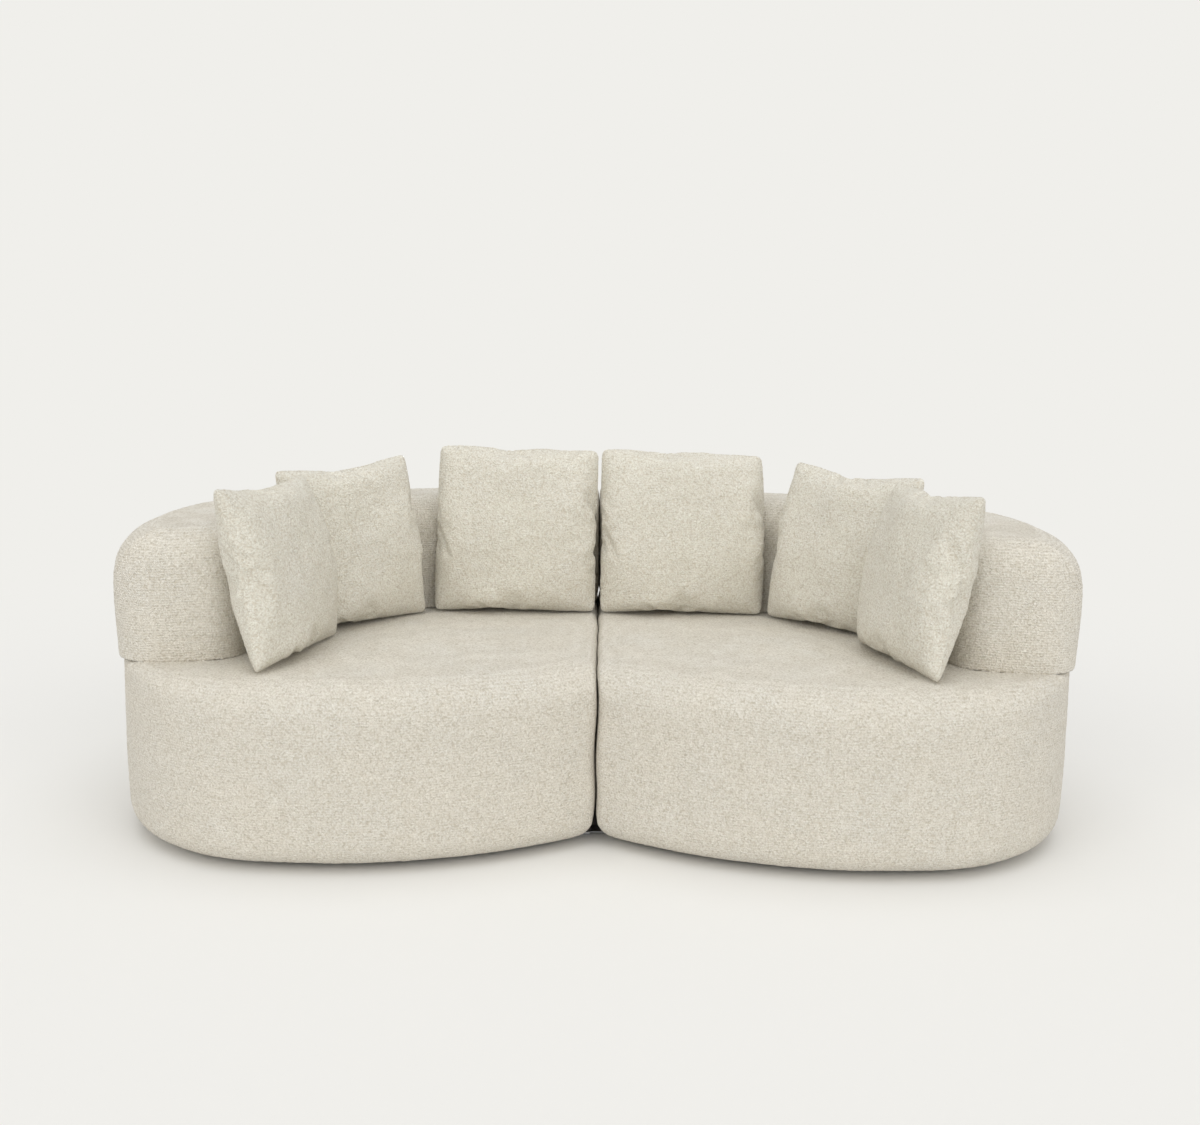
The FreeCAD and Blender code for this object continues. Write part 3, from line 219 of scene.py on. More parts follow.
def makeBoucle(name, sizes, rowStrength, lift):
    m = Material(name)
    light, hollowShade, cool = (lifted(sizes[key], lift) for key in ("light", "hollowShade", "cool"))
    relief = sizes["relief"]
    place = m.place()
    x, y, z = m.axes(place)
    wander = m.noise(place, sizes["curlScale"], 2.0, 0.6, output="Color")
    curled = m.move(place, wander, sizes["curl"])
    loops = m.cells(curled, sizes["loopsPerMetre"], "SMOOTH_F1")
    fine = m.cells(curled, sizes["loopsPerMetre"] * sizes["fineLoops"], "F1")
    yarn = m.noise(curled, sizes["yarnScale"], 2.0, 0.6)
    patches = m.noise(place, sizes["patchScale"], 3.0, 0.55)
    clumps = m.noise(place, sizes["clumpScale"], 2.0, 0.5)
    waver = m.noise(place, sizes["waverScale"], 1.0, 0.5)
    rows = ((z / sizes["rowPitch"] + waver * sizes["rowWaver"]) * 6.2832).sine() * 0.5 + 0.5
    height = (1.0 - loops * 1.5) * relief["loops"] + (1.0 - fine) * relief["fine"]
    height = height + yarn * relief["yarn"] + rows * rowStrength + clumps * relief["clumps"]
    raised = (height * sizes["contrast"] - sizes["hollow"]).clamp()
    # low points take the shade colour and raised loops the lighter ones: painted shade in the hollows
    # between loops
    warm, pale = m.blend(raised, hollowShade, light), m.blend(raised, hollowShade, cool)
    share = ((patches - sizes["patchLevel"]) * sizes["patchContrast"]).clamp()
    patched = m.blend(share, warm, pale)
    return m.finish(
        patched, sizes["roughness"], height, sizes["depth"], Sheen_Weight=sizes["sheen"],
        Sheen_Roughness=sizes["sheenRoughness"], Specular_IOR_Level=sizes["specular"])


boucleBase = makeBoucle("boucle_base", boucle, rowStrength=0.10, lift=1.05)
boucleBand = makeBoucle("boucle_band", boucle, rowStrength=0.16, lift=1.05)
# the cushions' copy of the same fabric, made lighter than the base's: painted light, standing in for light
# that the cushions get too little of
boucleCushionLit = makeBoucle("boucle_cushion", boucle, rowStrength=0.05, lift=1.14)
print("fabric made")

# plan of the right module, metres, for the fillers and for finding its walls
plan = {
    "halfWidth": 1.190,
    "seam": 0.003,
    "front": -0.615,
    "back": 0.605,
    "frontRadius": 1.150,
    "cornerRadius": 0.440,
    "sideStart": -0.168,
    "sideStraight": 0.095,
    "backCornerRadius": 0.420,
    "bandOverhang": 0.010,
    "backThickness": 0.300,
    "armInner": 0.865,
    "innerCornerRadius": 0.330,
    "armFront": -0.373,
    "outerRound": 0.115,
    "seatHeight": 0.450,
    "bandTop": 0.770,
    "floorGap": 0.015,
    "bottomRound": 0.060,
}


def arcPoints(centre, radius, start, end, step=0.02):
    count = max(3, int(abs(end - start) * radius / step))
    angles = [start + (end - start) * k / count for k in range(count + 1)]
    return [(centre[0] + radius * math.cos(a), centre[1] + radius * math.sin(a)) for a in angles]


def bearing(centre, point):
    return math.atan2(point[1] - centre[1], point[0] - centre[0])


def planCentres(p):
    corner = (p["halfWidth"] - p["cornerRadius"], p["sideStart"])
    reach = p["frontRadius"] - p["cornerRadius"]
    frontY = p["front"] + p["frontRadius"]
    front = (corner[0] - math.sqrt(reach**2 - (frontY - corner[1]) ** 2), frontY)
    backCorner = (p["halfWidth"] - p["backCornerRadius"], p["sideStart"] + p["sideStraight"])
    rise, small = p["back"] - backCorner[1], p["backCornerRadius"]
    backRadius = (backCorner[0] ** 2 + rise**2 - small**2) / (2 * (rise - small))
    back = (0.0, p["back"] - backRadius)
    innerRadius = p["back"] + p["bandOverhang"] - p["backThickness"] - back[1]
    innerX = p["armInner"] - p["innerCornerRadius"]
    drop = math.sqrt((innerRadius - p["innerCornerRadius"]) ** 2 - innerX**2)
    return front, corner, backCorner, back, backRadius, innerRadius, (innerX, back[1] + drop)


(frontCentre, cornerCentre, backCornerCentre, backCentre,
 backRadius, innerBackRadius, innerCornerCentre) = planCentres(plan)


def baseOutline(inset):
    p = plan
    seam = p["seam"] + inset
    frontR, backR = p["frontRadius"] - inset, backRadius - inset
    frontSeam = (seam, frontCentre[1] - math.sqrt(frontR**2 - (frontCentre[0] - seam) ** 2))
    backSeam = (seam, backCentre[1] + math.sqrt(backR**2 - seam**2))
    turn = bearing(frontCentre, cornerCentre)
    backTurn = bearing(backCentre, backCornerCentre)
    points = arcPoints(frontCentre, frontR, bearing(frontCentre, frontSeam), turn)
    points += arcPoints(cornerCentre, p["cornerRadius"] - inset, turn, 0)[1:]
    points += arcPoints(backCornerCentre, p["backCornerRadius"] - inset, 0, backTurn)
    points += arcPoints(backCentre, backR, backTurn, bearing(backCentre, backSeam))[1:]
    return points


def bandOutline(inset):
    # plain outline of the arm and back band up to its front rounding, for the filler inside it
    p = plan
    over = p["bandOverhang"] - inset
    seam = p["seam"] + inset
    outerR, innerR = backRadius + over, innerBackRadius + inset
    outerSeam = (seam, backCentre[1] + math.sqrt(outerR**2 - seam**2))
    innerSeam = (seam, backCentre[1] + math.sqrt(innerR**2 - seam**2))
    backTurn = bearing(backCentre, backCornerCentre)
    innerTurn = bearing(backCentre, innerCornerCentre)
    face = p["armFront"] + p["outerRound"]
    cornerR = p["cornerRadius"] + over
    faceTurn = -math.asin((cornerCentre[1] - face) / cornerR)
    points = arcPoints(cornerCentre, cornerR, faceTurn, 0)
    points += arcPoints(backCornerCentre, p["backCornerRadius"] + over, 0, backTurn)
    points += arcPoints(backCentre, outerR, backTurn, bearing(backCentre, outerSeam))[1:]
    points += arcPoints(backCentre, innerR, bearing(backCentre, innerSeam), innerTurn)
    points += arcPoints(innerCornerCentre, p["innerCornerRadius"] + inset, innerTurn, 0)[1:]
    points.append((p["armInner"] + inset, face))
    return points


def addBlock(mesh, points, low, high):
    # fills a hollow of the CAD pieces, so that the remesh sees them as one solid
    bottom = [mesh.verts.new((x, y, low)) for x, y in points]
    top = [mesh.verts.new((x, y, high)) for x, y in points]
    mesh.faces.new(top)
    mesh.faces.new(bottom[::-1])
    for k in range(len(points)):
        n = (k + 1) % len(points)
        mesh.faces.new((bottom[k], bottom[n], top[n], top[k]))


def meshOf(obj):
    # a copy of a CAD node's mesh with its loose triangles merged
    mesh = bmesh.new()
    mesh.from_mesh(obj.data)
    mesh.transform(obj.matrix_world)
    bmesh.ops.remove_doubles(mesh, verts=mesh.verts, dist=1e-5)
    return mesh


def joined(*nodes):
    # the meshes of several CAD nodes as one
    mesh = meshOf(frame["nodes"][nodes[0]])
    for node in nodes[1:]:
        extra = bpy.data.meshes.new("extra")
        part = meshOf(frame["nodes"][node])
        part.to_mesh(extra)
        part.free()
        mesh.from_mesh(extra)
        bpy.data.meshes.remove(extra)
    return mesh


def newObject(name, mesh):
    data = bpy.data.meshes.new(name)
    mesh.to_mesh(data)
    mesh.free()
    obj = bpy.data.objects.new(name, data)
    bpy.context.scene.collection.objects.link(obj)
    return obj


def bake(obj):
    # the evaluated mesh takes the place of the object's own, and its modifiers go
    bpy.context.view_layer.update()
    shown = obj.evaluated_get(bpy.context.evaluated_depsgraph_get())
    data = bpy.data.meshes.new_from_object(shown)
    old = obj.data
    obj.modifiers.clear()
    obj.data = data
    data.name = obj.name
    bpy.data.meshes.remove(old)
    return obj


def remesh(obj, voxel, smooth):
    grid = obj.modifiers.new("grid", "REMESH")
    grid.mode = "VOXEL"
    grid.voxel_size = voxel
    grid.use_smooth_shade = True
    relax = obj.modifiers.new("relax", "SMOOTH")
    relax.factor = 0.5
    relax.iterations = smooth
    return bake(obj)


def readPoints(obj, kind):
    values = np.empty(len(obj.data.vertices) * 3)
    obj.data.vertices.foreach_get(kind, values)
    return values.reshape(-1, 3)


def coordsOf(obj):
    return readPoints(obj, "co")


def normalsOf(obj):
    return readPoints(obj, "normal")


def setCoords(obj, points):
    obj.data.vertices.foreach_set("co", points.ravel())
    obj.data.update()


def smoothStep(low, high, values):
    t = np.clip((values - low) / (high - low), 0, 1)
    return t * t * (3 - 2 * t)


waveGain = 1.6


def wave(points, scale, seed):
    # gentle noise around 0 at each point
    start = Vector((seed, 0, 0))
    return np.array([noise.noise(Vector(p) * scale + start) for p in points]) * waveGain


def insideDistance(points, centre, radius):
    return radius - np.hypot(points[:, 0] - centre[0], points[:, 1] - centre[1])


def roundedEdge(a, b, radius):
    # a and b are depths behind two faces; gives where they need rounding, and the rounded depths
    away = np.hypot(radius - a, radius - b)
    near = (a < radius) & (b < radius) & (away > radius)
    pull = np.where(near, radius / np.maximum(away, 1e-6), 1.0)
    return near, radius - (radius - a) * pull, radius - (radius - b) * pull


nubScale = 170.0
nubs = 0.0009  # metres that a loop stands out


def roughen(points, normals, sizes, share):
    # uneven foam under the cover, then the loops that show on the outline
    uneven = sum(wave(points, scale, seed) * part for scale, seed, part in sizes["waves"])
    points += normals * (uneven * sizes["sag"] * share)[:, None]
    points += normals * (wave(points, nubScale, sizes["nubSeed"]) * nubs)[:, None]


# bases
baseSizes = {
    "voxel": 0.0075,
    "smooth": 14,
    "filler": (0.05, 0.019, 0.400),  # inset, bottom and top
    "upperFiller": (0.03, 0.330, 0.449),
    "crown": 0.010,  # deck higher in the middle of the seat
    "crownFades": {"front": (0.0, 0.30), "arm": (0.10, 0.35), "back": (0.12, 0.40), "seam": (0.0, 0.10)},
    "belly": 0.002,  # walls fuller at mid height
    "bellyFoot": 0.05,
    "bellyRise": 0.36,
    "seamFade": (0.004, 0.10),
    "crease": 0.018,  # rounding under the band, drawn out to a tight line
    "creaseShare": 0.7,
    "creaseHeights": (0.425, 0.452),
    "creaseFades": ((-0.40, -0.30), (0.30, 0.45)),  # along Y and X
    "sag": 0.0022,
    "waves": ((5.0, 3.0, 0.7), (13.0, 8.0, 0.3)),  # scale, seed and share
    "seamHeights": (0.055, 0.455),
    "nubSeed": 1.0,
}


def tighten(points, normals, radius, share, low, high, sign):
    # draws a rounded edge out towards its corner, where it meets the piece above or below
    flat = np.linalg.norm(normals[:, :2], axis=1)
    out = normals[:, :2] / np.maximum(flat, 1e-6)[:, None]
    edge = share * (points[:, 2] > low) * (points[:, 2] < high) * (normals[:, 2] * sign > 0.02)
    points[:, :2] += out * (edge * radius * (1 - flat) * np.sqrt(flat))[:, None]
    points[:, 2] += sign * edge * radius * (1 - np.abs(normals[:, 2])) * flat


def makeBase(name, sizes):
    mesh = joined("right_base_cover", "right_base_padding", "right_seat_foam")
    for outline, key in ((baseOutline, "filler"), (bandOutline, "upperFiller")):
        inset, low, high = sizes[key]
        addBlock(mesh, outline(inset), low, high)
    obj = newObject(name, mesh)
    remesh(obj, sizes["voxel"], sizes["smooth"])
    points, normals = coordsOf(obj), normalsOf(obj)
    height = points[:, 2]
    upright = 1 - np.abs(normals[:, 2])
    rise = np.clip((height - sizes["bellyFoot"]) / sizes["bellyRise"], 0, 1)
    seamFade = smoothStep(*sizes["seamFade"], points[:, 0])
    points += normals * (np.sin(rise * math.pi) * sizes["belly"] * upright * seamFade)[:, None]
    alongY, alongX = sizes["creaseFades"]
    beside = smoothStep(*alongY, points[:, 1]) * smoothStep(*alongX, points[:, 0])
    tighten(points, normals, sizes["crease"], beside * sizes["creaseShare"], *sizes["creaseHeights"], 1)
    away = {
        "front": insideDistance(points, frontCentre, plan["frontRadius"]),
        "arm": plan["armInner"] - points[:, 0],
        "back": insideDistance(points, backCentre, innerBackRadius),
        "seam": points[:, 0],
    }
    middle = np.ones(len(points))
    for key, fade in sizes["crownFades"].items():
        middle *= smoothStep(*fade, away[key])
    points[:, 2] += sizes["crown"] * middle * (normals[:, 2] > 0.3) * (height > 0.3)
    roughen(points, normals, sizes, (0.4 + 0.6 * seamFade) * (height > 0.02))
    setCoords(obj, points)
    return obj


# arm and back bands
bandSizes = {
    "voxel": 0.0065,
    "smooth": 12,
    "filler": (0.03, 0.4515, 0.735),  # inset, bottom and top
    "armEnd": (
        (0.905, -0.240), (0.905, -0.318), (0.955, -0.355),
        (1.060, -0.372), (1.105, -0.345), (1.140, -0.240)),  # filler in the arm's front end
    "fullness": 0.003,  # walls fuller at mid height
    "fullFoot": 0.45,
    "fullRise": 0.26,
    "seamFade": (0.004, 0.08),
    "crease": 0.018,
    "creaseShare": 0.8,
    "creaseHeights": (0.448, 0.480),
    "shoulder": ((0.128, 0.116), (0.110, 0.105)),  # half width and height of the rounding: arms, back
    "shoulderFade": (-0.05, 0.35),  # from arm to back, along Y
    "sag": 0.0022,
    "waves": ((6.0, 5.0, 0.7), (15.0, 2.0, 0.3)),
    "seamHeights": (0.46, 0.765),
    "nubSeed": 4.0,
}


def wallDepth(points):
    # how far each point lies inside the band's outer wall
    over = plan["bandOverhang"]
    x, y = points[:, 0], points[:, 1]
    corner = insideDistance(points, cornerCentre, plan["cornerRadius"] + over)
    backCorner = insideDistance(points, backCornerCentre, plan["backCornerRadius"] + over)
    back = insideDistance(points, backCentre, backRadius + over)
    turned = np.arctan2(y - backCentre[1], x) > bearing(backCentre, backCornerCentre)
    behind = np.where(turned, back, backCorner)
    beside = np.where(y < cornerCentre[1], corner, plan["halfWidth"] + over - x)
    return np.where(y > backCornerCentre[1], behind, beside)


def roundShoulder(points, sizes):
    # widens the outer rounding of the CAD band towards the one in the photo
    toBack = smoothStep(*sizes["shoulderFade"], points[:, 1])
    arm, back = sizes["shoulder"]
    width = arm[0] + (back[0] - arm[0]) * toBack
    rise = arm[1] + (back[1] - arm[1]) * toBack
    depth = wallDepth(points)
    centreZ = plan["bandTop"] - rise
    a, b = (width - depth) / width, (points[:, 2] - centreZ) / rise
    reach = np.hypot(a, b)
    outside = (a > 0) & (b > 0) & (reach > 1)
    pull = np.where(outside, 1 / np.maximum(reach, 1e-6), 1.0)
    inward = width * a * (1 - pull)
    step = 0.002  # metres, to find which way is inwards
    slopeX = (wallDepth(points + (step, 0, 0)) - depth) / step
    slopeY = (wallDepth(points + (0, step, 0)) - depth) / step
    points[:, 0] += slopeX * inward
    points[:, 1] += slopeY * inward
    points[:, 2] = np.where(outside, centreZ + rise * b * pull, points[:, 2])


def makeBand(name, sizes):
    mesh = joined("right_back_cover", "right_back_foam")
    inset, low, high = sizes["filler"]
    for points in (bandOutline(inset), sizes["armEnd"]):
        addBlock(mesh, points, low, high)
    obj = newObject(name, mesh)
    remesh(obj, sizes["voxel"], sizes["smooth"])
    points, normals = coordsOf(obj), normalsOf(obj)
    upright = 1 - np.abs(normals[:, 2])
    rise = np.clip((points[:, 2] - sizes["fullFoot"]) / sizes["fullRise"], 0, 1)
    seamFade = smoothStep(*sizes["seamFade"], points[:, 0])
    points += normals * (np.sin(rise * math.pi) * sizes["fullness"] * upright * seamFade)[:, None]
    tighten(points, normals, sizes["crease"], sizes["creaseShare"] * seamFade, *sizes["creaseHeights"], -1)
    roundShoulder(points, sizes)
    roughen(points, normals, sizes, 0.3 + 0.7 * seamFade)
    setCoords(obj, points)
    return obj


seam = {
    "round": 0.022,  # vertical edges beside the seam
    "foot": 0.055,  # lower edges beside the seam
    "close": 0.0022,  # each face bulges towards the other
    "closeFades": (0.06, 0.05, 0.03),  # from the walls, the foot and the top
    "closeReach": (0.010, 0.003),
    "waver": 0.0035,
    "waverScale": 7.0,
    "waverSeed": 21.0,
    "waverReach": 0.16,  # from the seam, where both pieces have come back to their place
    "waverFoot": (0.03, 0.12),  # heights over which the waver sets in
}


def softenSeam(obj, wallFront, wallBack, low, high):
    # rounds the edges beside the seam and lets the two faces nearly meet
    points = coordsOf(obj)
    face = plan["seam"]
    for wall, sign in ((wallFront, 1), (wallBack, -1)):
        depth = sign * (points[:, 1] - wall(points[:, 0]))
        near, across, along = roundedEdge(points[:, 0] - face, depth, seam["round"])
        points[:, 0] = np.where(near, face + across, points[:, 0])
        points[:, 1] = np.where(near, wall(points[:, 0]) + sign * along, points[:, 1])
    if low < plan["bottomRound"]:
        rise = points[:, 2] - plan["floorGap"]
        near, across, up = roundedEdge(points[:, 0] - face, rise, seam["foot"])
        points[:, 0] = np.where(near, face + across, points[:, 0])
        points[:, 2] = np.where(near, plan["floorGap"] + up, points[:, 2])
    fromWall, fromFoot, fromTop = seam["closeFades"]
    inside = smoothStep(0.0, fromWall, points[:, 1] - wallFront(points[:, 0]))
    inside *= smoothStep(0.0, fromWall, wallBack(points[:, 0]) - points[:, 1])
    height = points[:, 2]
    inside *= smoothStep(low, low + fromFoot, height) * smoothStep(high, high - fromTop, height)
    facing = smoothStep(*seam["closeReach"], points[:, 0])
    points[:, 0] -= seam["close"] * inside * facing
    setCoords(obj, points)


def waverSeam(obj):
    # both modules follow one uneven line where they meet
    points = coordsOf(obj)
    line = points * np.array([0.0, 1.0, 1.0])
    shift = wave(line, seam["waverScale"], seam["waverSeed"]) * seam["waver"]
    shift *= smoothStep(seam["waverReach"], 0.0, np.abs(points[:, 0]))
    points[:, 0] += shift * smoothStep(*seam["waverFoot"], points[:, 2])
    setCoords(obj, points)


def wallOf(centre, radius, side):
    # Y of a curved wall at each X
    return lambda x: centre[1] + side * np.sqrt(radius**2 - (x - centre[0]) ** 2)


frontWall = wallOf(frontCentre, plan["frontRadius"], -1)
backWall = wallOf(backCentre, backRadius, 1)
bandFrontWall = wallOf(backCentre, innerBackRadius, 1)
bandBackWall = wallOf(backCentre, backRadius + plan["bandOverhang"], 1)


def mirrored(obj, name):
    mesh = bmesh.new()
    mesh.from_mesh(obj.data)
    bmesh.ops.transform(mesh, matrix=Matrix.Scale(-1, 4, (1, 0, 0)), verts=mesh.verts)
    bmesh.ops.reverse_faces(mesh, faces=mesh.faces)
    return newObject(name, mesh)


def dress(obj, material, slot, body, *nodes):
    obj.data.materials.clear()
    obj.data.materials.append(material)
    for face in obj.data.polygons:
        face.use_smooth = True
    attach(obj, body)
    if nodes:
        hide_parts(*nodes)


def dressPair(right, material, *nodes):
    # the right module's piece and its mirror image, each with its own side of the seam's waver
    left = mirrored(right, right.name.replace("right", "left"))
    for side, obj in (("right", right), ("left", left)):
        waverSeam(obj)
        dress(obj, material, "boucle", side + "_module", *(side + node for node in nodes))


base = makeBase("right_base_upholstery", baseSizes)
softenSeam(base, frontWall, backWall, *baseSizes["seamHeights"])
dressPair(base, boucleBase, "_base_cover", "_base_padding", "_seat_foam")
print("bases made:", len(base.data.polygons), "faces each")

band = makeBand("right_band_upholstery", bandSizes)
softenSeam(band, bandFrontWall, bandBackWall, *bandSizes["seamHeights"])
dressPair(band, boucleBand, "_back_cover", "_back_foam")
print("bands made:", len(band.data.polygons), "faces each")

# cushions
pillow = {
    "cut": 0.500,  # flat panels before they are filled
    "cells": 54,
    "puff": 0.018,  # filling between the panels before the pressure acts
    "frames": 24,
    "width": 0.442,
    "height": 0.447,
    "thickness": 0.150,
    "round": 0.028,  # corners of the cover, seen from the front
    "calm": 3,
    "asFilled": 0.15,  # shares of the filled outline and of the straight one
    "straight": 0.85,
    "narrowest": 0.05,
    "quickPuff": 4.2,  # numbers for a plain pillow form
    "quickPower": 0.05,
}
cloth = {
    "quality": 6,
    "mass": 0.3,
    "tension_stiffness": 25,
    "compression_stiffness": 25,
    "shear_stiffness": 8,
    "bending_stiffness": 2.5,
    "air_damping": 6,
    "use_pressure": True,
    "uniform_pressure_force": 6.0,
}


def sewnPanels(name, sizes):
    # two square panels sewn round the edge, with a little filling between them
    cells, half = sizes["cells"], sizes["cut"] / 2
    mesh = bmesh.new()
    rows = {}
    for face in (-1, 1):
        for i in range(cells + 1):
            for j in range(cells + 1):
                u, v = 2 * i / cells - 1, 2 * j / cells - 1
                edge = i in (0, cells) or j in (0, cells)
                if edge and (1, i, j) not in rows and face == 1:
                    rows[1, i, j] = rows[-1, i, j]
                    continue
                puff = 0.0 if edge else sizes["puff"] * ((1 - u * u) * (1 - v * v)) ** 0.5
                rows[face, i, j] = mesh.verts.new((u * half, face * puff, v * half))
    for face in (-1, 1):
        for i in range(cells):
            for j in range(cells):
                around = ((i, j), (i + 1, j), (i + 1, j + 1), (i, j + 1))
                ring = [rows[face, p, q] for p, q in around]
                mesh.faces.new(ring if face == -1 else ring[::-1])
    obj = newObject(name, mesh)
    hem = obj.data.attributes.new("hem", "FLOAT", "POINT")
    reach = np.abs(coordsOf(obj)[:, [0, 2]]).max(axis=1)
    hem.data.foreach_set("value", (reach > half * 0.9999).astype(float))
    return obj


def fill(obj, frames):
    filling = obj.modifiers.new("filling", "CLOTH")
    for key, value in cloth.items():
        setattr(filling.settings, key, value)
    filling.settings.effector_weights.gravity = 0
    filling.point_cache.frame_start = 1
    filling.point_cache.frame_end = frames
    scene = bpy.context.scene
    for number in range(1, frames + 1):
        scene.frame_set(number)
    bake(obj)
    scene.frame_set(1)


def makePillow():
    obj = sewnPanels("pillow_form", pillow)
    fill(obj, pillow["frames"])
    points = coordsOf(obj)
    points -= (points.max(axis=0) + points.min(axis=0)) / 2
    print("pillow as filled:", np.round(np.ptp(points, axis=0), 4))
    for axis, key in enumerate(("width", "thickness", "height")):
        points[:, axis] *= pillow[key] / np.ptp(points[:, axis])
    squareUp(points)
    roundCorners(points, pillow["round"])
    setCoords(obj, points)
    calm = obj.modifiers.new("calm", "SMOOTH")
    calm.factor = 0.5
    calm.iterations = pillow["calm"]
    finer = obj.modifiers.new("finer", "SUBSURF")
    finer.levels = finer.render_levels = 1
    return bake(obj)


# shape of each cushion as the photo shows it: metres that its corners (left bottom, right bottom,
# left top, right top) are moved across and up, and the middles of its edges (left, right, top) outwards;
# turn and lean in degrees
cushions = {
    "left_centre": {
        "turn": 0, "lean": 7, "seed": 4,
        "corners": ((-0.018, 0.0), (-0.003, 0.0), (-0.004, 0.026), (0.003, 0.016)),
        "middles": (-0.008, 0.005, 0.002),
    },
    "right_centre": {
        "turn": 0, "lean": 7, "seed": 1,
        "corners": ((-0.001, 0.0), (0.018, 0.0), (-0.003, 0.018), (0.010, 0.008)),
        "middles": (-0.005, 0.014, 0.006),
    },
    "left_corner": {
        "turn": -44, "lean": 10, "seed": 5,
        "corners": ((0.0, 0.0), (0.002, 0.0), (0.016, -0.012), (-0.014, 0.008)),
        "middles": (0.006, 0.004, -0.016),
    },
    "right_corner": {
        "turn": 44, "lean": 10, "seed": 2,
        "corners": ((-0.010, 0.0), (0.0, 0.0), (0.018, 0.002), (-0.014, -0.008)),
        "middles": (-0.012, -0.004, -0.018),
    },
    "left_arm": {
        "turn": -75, "lean": 12, "seed": 6,
        "corners": ((0.022, 0.0), (0.0, 0.0), (0.024, -0.006), (0.004, -0.014)),
        "middles": (0.016, 0.004, -0.014),
    },
    "right_arm": {
        "turn": 75, "lean": 12, "seed": 3,
        "corners": ((0.0, 0.0), (-0.022, 0.0), (-0.004, -0.010), (-0.022, 0.002)),
        "middles": (0.0, -0.014, -0.014),
    },
}
surface = {
    "folds": ((8.0, 7.0, 0.0045), (21.0, 3.0, 0.0016)),  # scale, seed step and metres
    "topWaver": (11.0, 5.0, 0.003),
    "deckGap": 0.0012,
    "flatten": 0.02,  # what is left of a point's depth below the deck
    "settle": 0.030,  # height over which the foot wavers
    "footWaver": 0.001,
    "footScale": 30.0,
    "footBand": 0.002,  # lowest part of a CAD cushion that counts as its lower seam
}


def spanAt(along, across, size, bins=36):
    # how far a shape reaches to each side, along its other axis
    edges = np.linspace(-size / 2, size / 2, bins + 1)
    middles, lows, highs = [], [], []
    for low, high in zip(edges, edges[1:]):
        inside = (along >= low) & (along <= high)
        if inside.any():
            middles.append((low + high) / 2)
            lows.append(across[inside].min())
            highs.append(across[inside].max())
    return np.interp(along, middles, lows), np.interp(along, middles, highs)


def squareUp(points):
    # the sides of a filled panel curve inwards; a cut with fuller sides keeps them straight
    for axis, other, size, reach in ((0, 2, "height", "width"), (2, 0, "width", "height")):
        low, high = spanAt(points[:, other], points[:, axis], pillow[size])
        middle, half = (low + high) / 2, (high - low) / 2
        half = np.maximum(half, pillow["narrowest"])
        straight = (points[:, axis] - middle) / half * pillow[reach] / 2
        points[:, axis] = points[:, axis] * pillow["asFilled"] + straight * pillow["straight"]


def roundCorners(points, radius):
    halfWidth, halfHeight = pillow["width"] / 2, pillow["height"] / 2
    signs = np.sign(points)
    depths = halfWidth - np.abs(points[:, 0]), halfHeight - np.abs(points[:, 2])
    across, up = roundedEdge(*depths, radius)[1:]
    points[:, 0] = signs[:, 0] * (halfWidth - across)
    points[:, 2] = signs[:, 2] * (halfHeight - up)


def cadFoot(name):
    # the middle of the lower seam of a cushion's CAD solid
    node = frame["nodes"][name + "_cushion_cover"]
    corners = np.array([node.matrix_world @ v.co for v in node.data.vertices])
    return Vector(corners[corners[:, 2] < corners[:, 2].min() + surface["footBand"]].mean(axis=0))


def makeCushion(name, sizes):
    obj = bpy.data.objects.new(name + "_cushion", pillowForm.data.copy())
    bpy.context.scene.collection.objects.link(obj)
    points, normals = coordsOf(obj), normalsOf(obj)
    u = np.clip(points[:, 0] / (pillow["width"] / 2), -1, 1)
    v = np.clip(points[:, 2] / (pillow["height"] / 2), -1, 1)
    for (su, sv), (across, up) in zip(((-1, -1), (1, -1), (-1, 1), (1, 1)), sizes["corners"]):
        share = (1 + su * u) * (1 + sv * v) / 4
        points[:, 0] += across * share
        points[:, 2] += up * share * smoothStep(-1, 1, v * sv)
    left, right, top = sizes["middles"]
    bow = 1 - v**2
    points[:, 0] += bow * (left * (1 - u) / 2 + right * (1 + u) / 2)
    points[:, 2] += (1 - u**2) * top * smoothStep(-0.3, 1, v)
    seed = sizes["seed"]
    uneven = sum(wave(points, scale, seed * step) * depth for scale, step, depth in surface["folds"])
    points += normals * (uneven * (1 - np.maximum(np.abs(u), np.abs(v)) ** 4))[:, None]
    scale, step, depth = surface["topWaver"]
    points[:, 2] += wave(points * (1, 0, 1), scale, seed * step) * depth * smoothStep(0.6, 1, v)
    points += normals * (wave(points, nubScale, seed) * nubs)[:, None]
    points[:, 2] += pillow["height"] / 2
    place = Matrix.Translation(cadFoot(name))
    place = place @ Matrix.Rotation(-math.radians(sizes["turn"]), 4, "Z")
    place = place @ Matrix.Rotation(-math.radians(sizes["lean"]), 4, "X")
    turned = points @ np.array(place.to_3x3()).T + np.array(place.translation)
    low = plan["seatHeight"] + surface["deckGap"]
    height = turned[:, 2]
    sunk = smoothStep(low + surface["settle"], low, height)
    turned[:, 2] = np.where(height < low, low + (low - height) * surface["flatten"], height)
    turned[:, 2] += sunk * surface["footWaver"] * (1 + wave(turned, surface["footScale"], seed))
    setCoords(obj, turned)
    return obj


pillowForm = makePillow()
sewing = {
    # sewn edge of a cushion: a thin ridge where the panels meet, overcast with stitches
    "Ridge radius": 0.0011,
    "Path step": 0.0040,
    "Stitch pitch": 0.0052,
    "Stitch size": (0.0019, 0.0015, 0.0015),
}


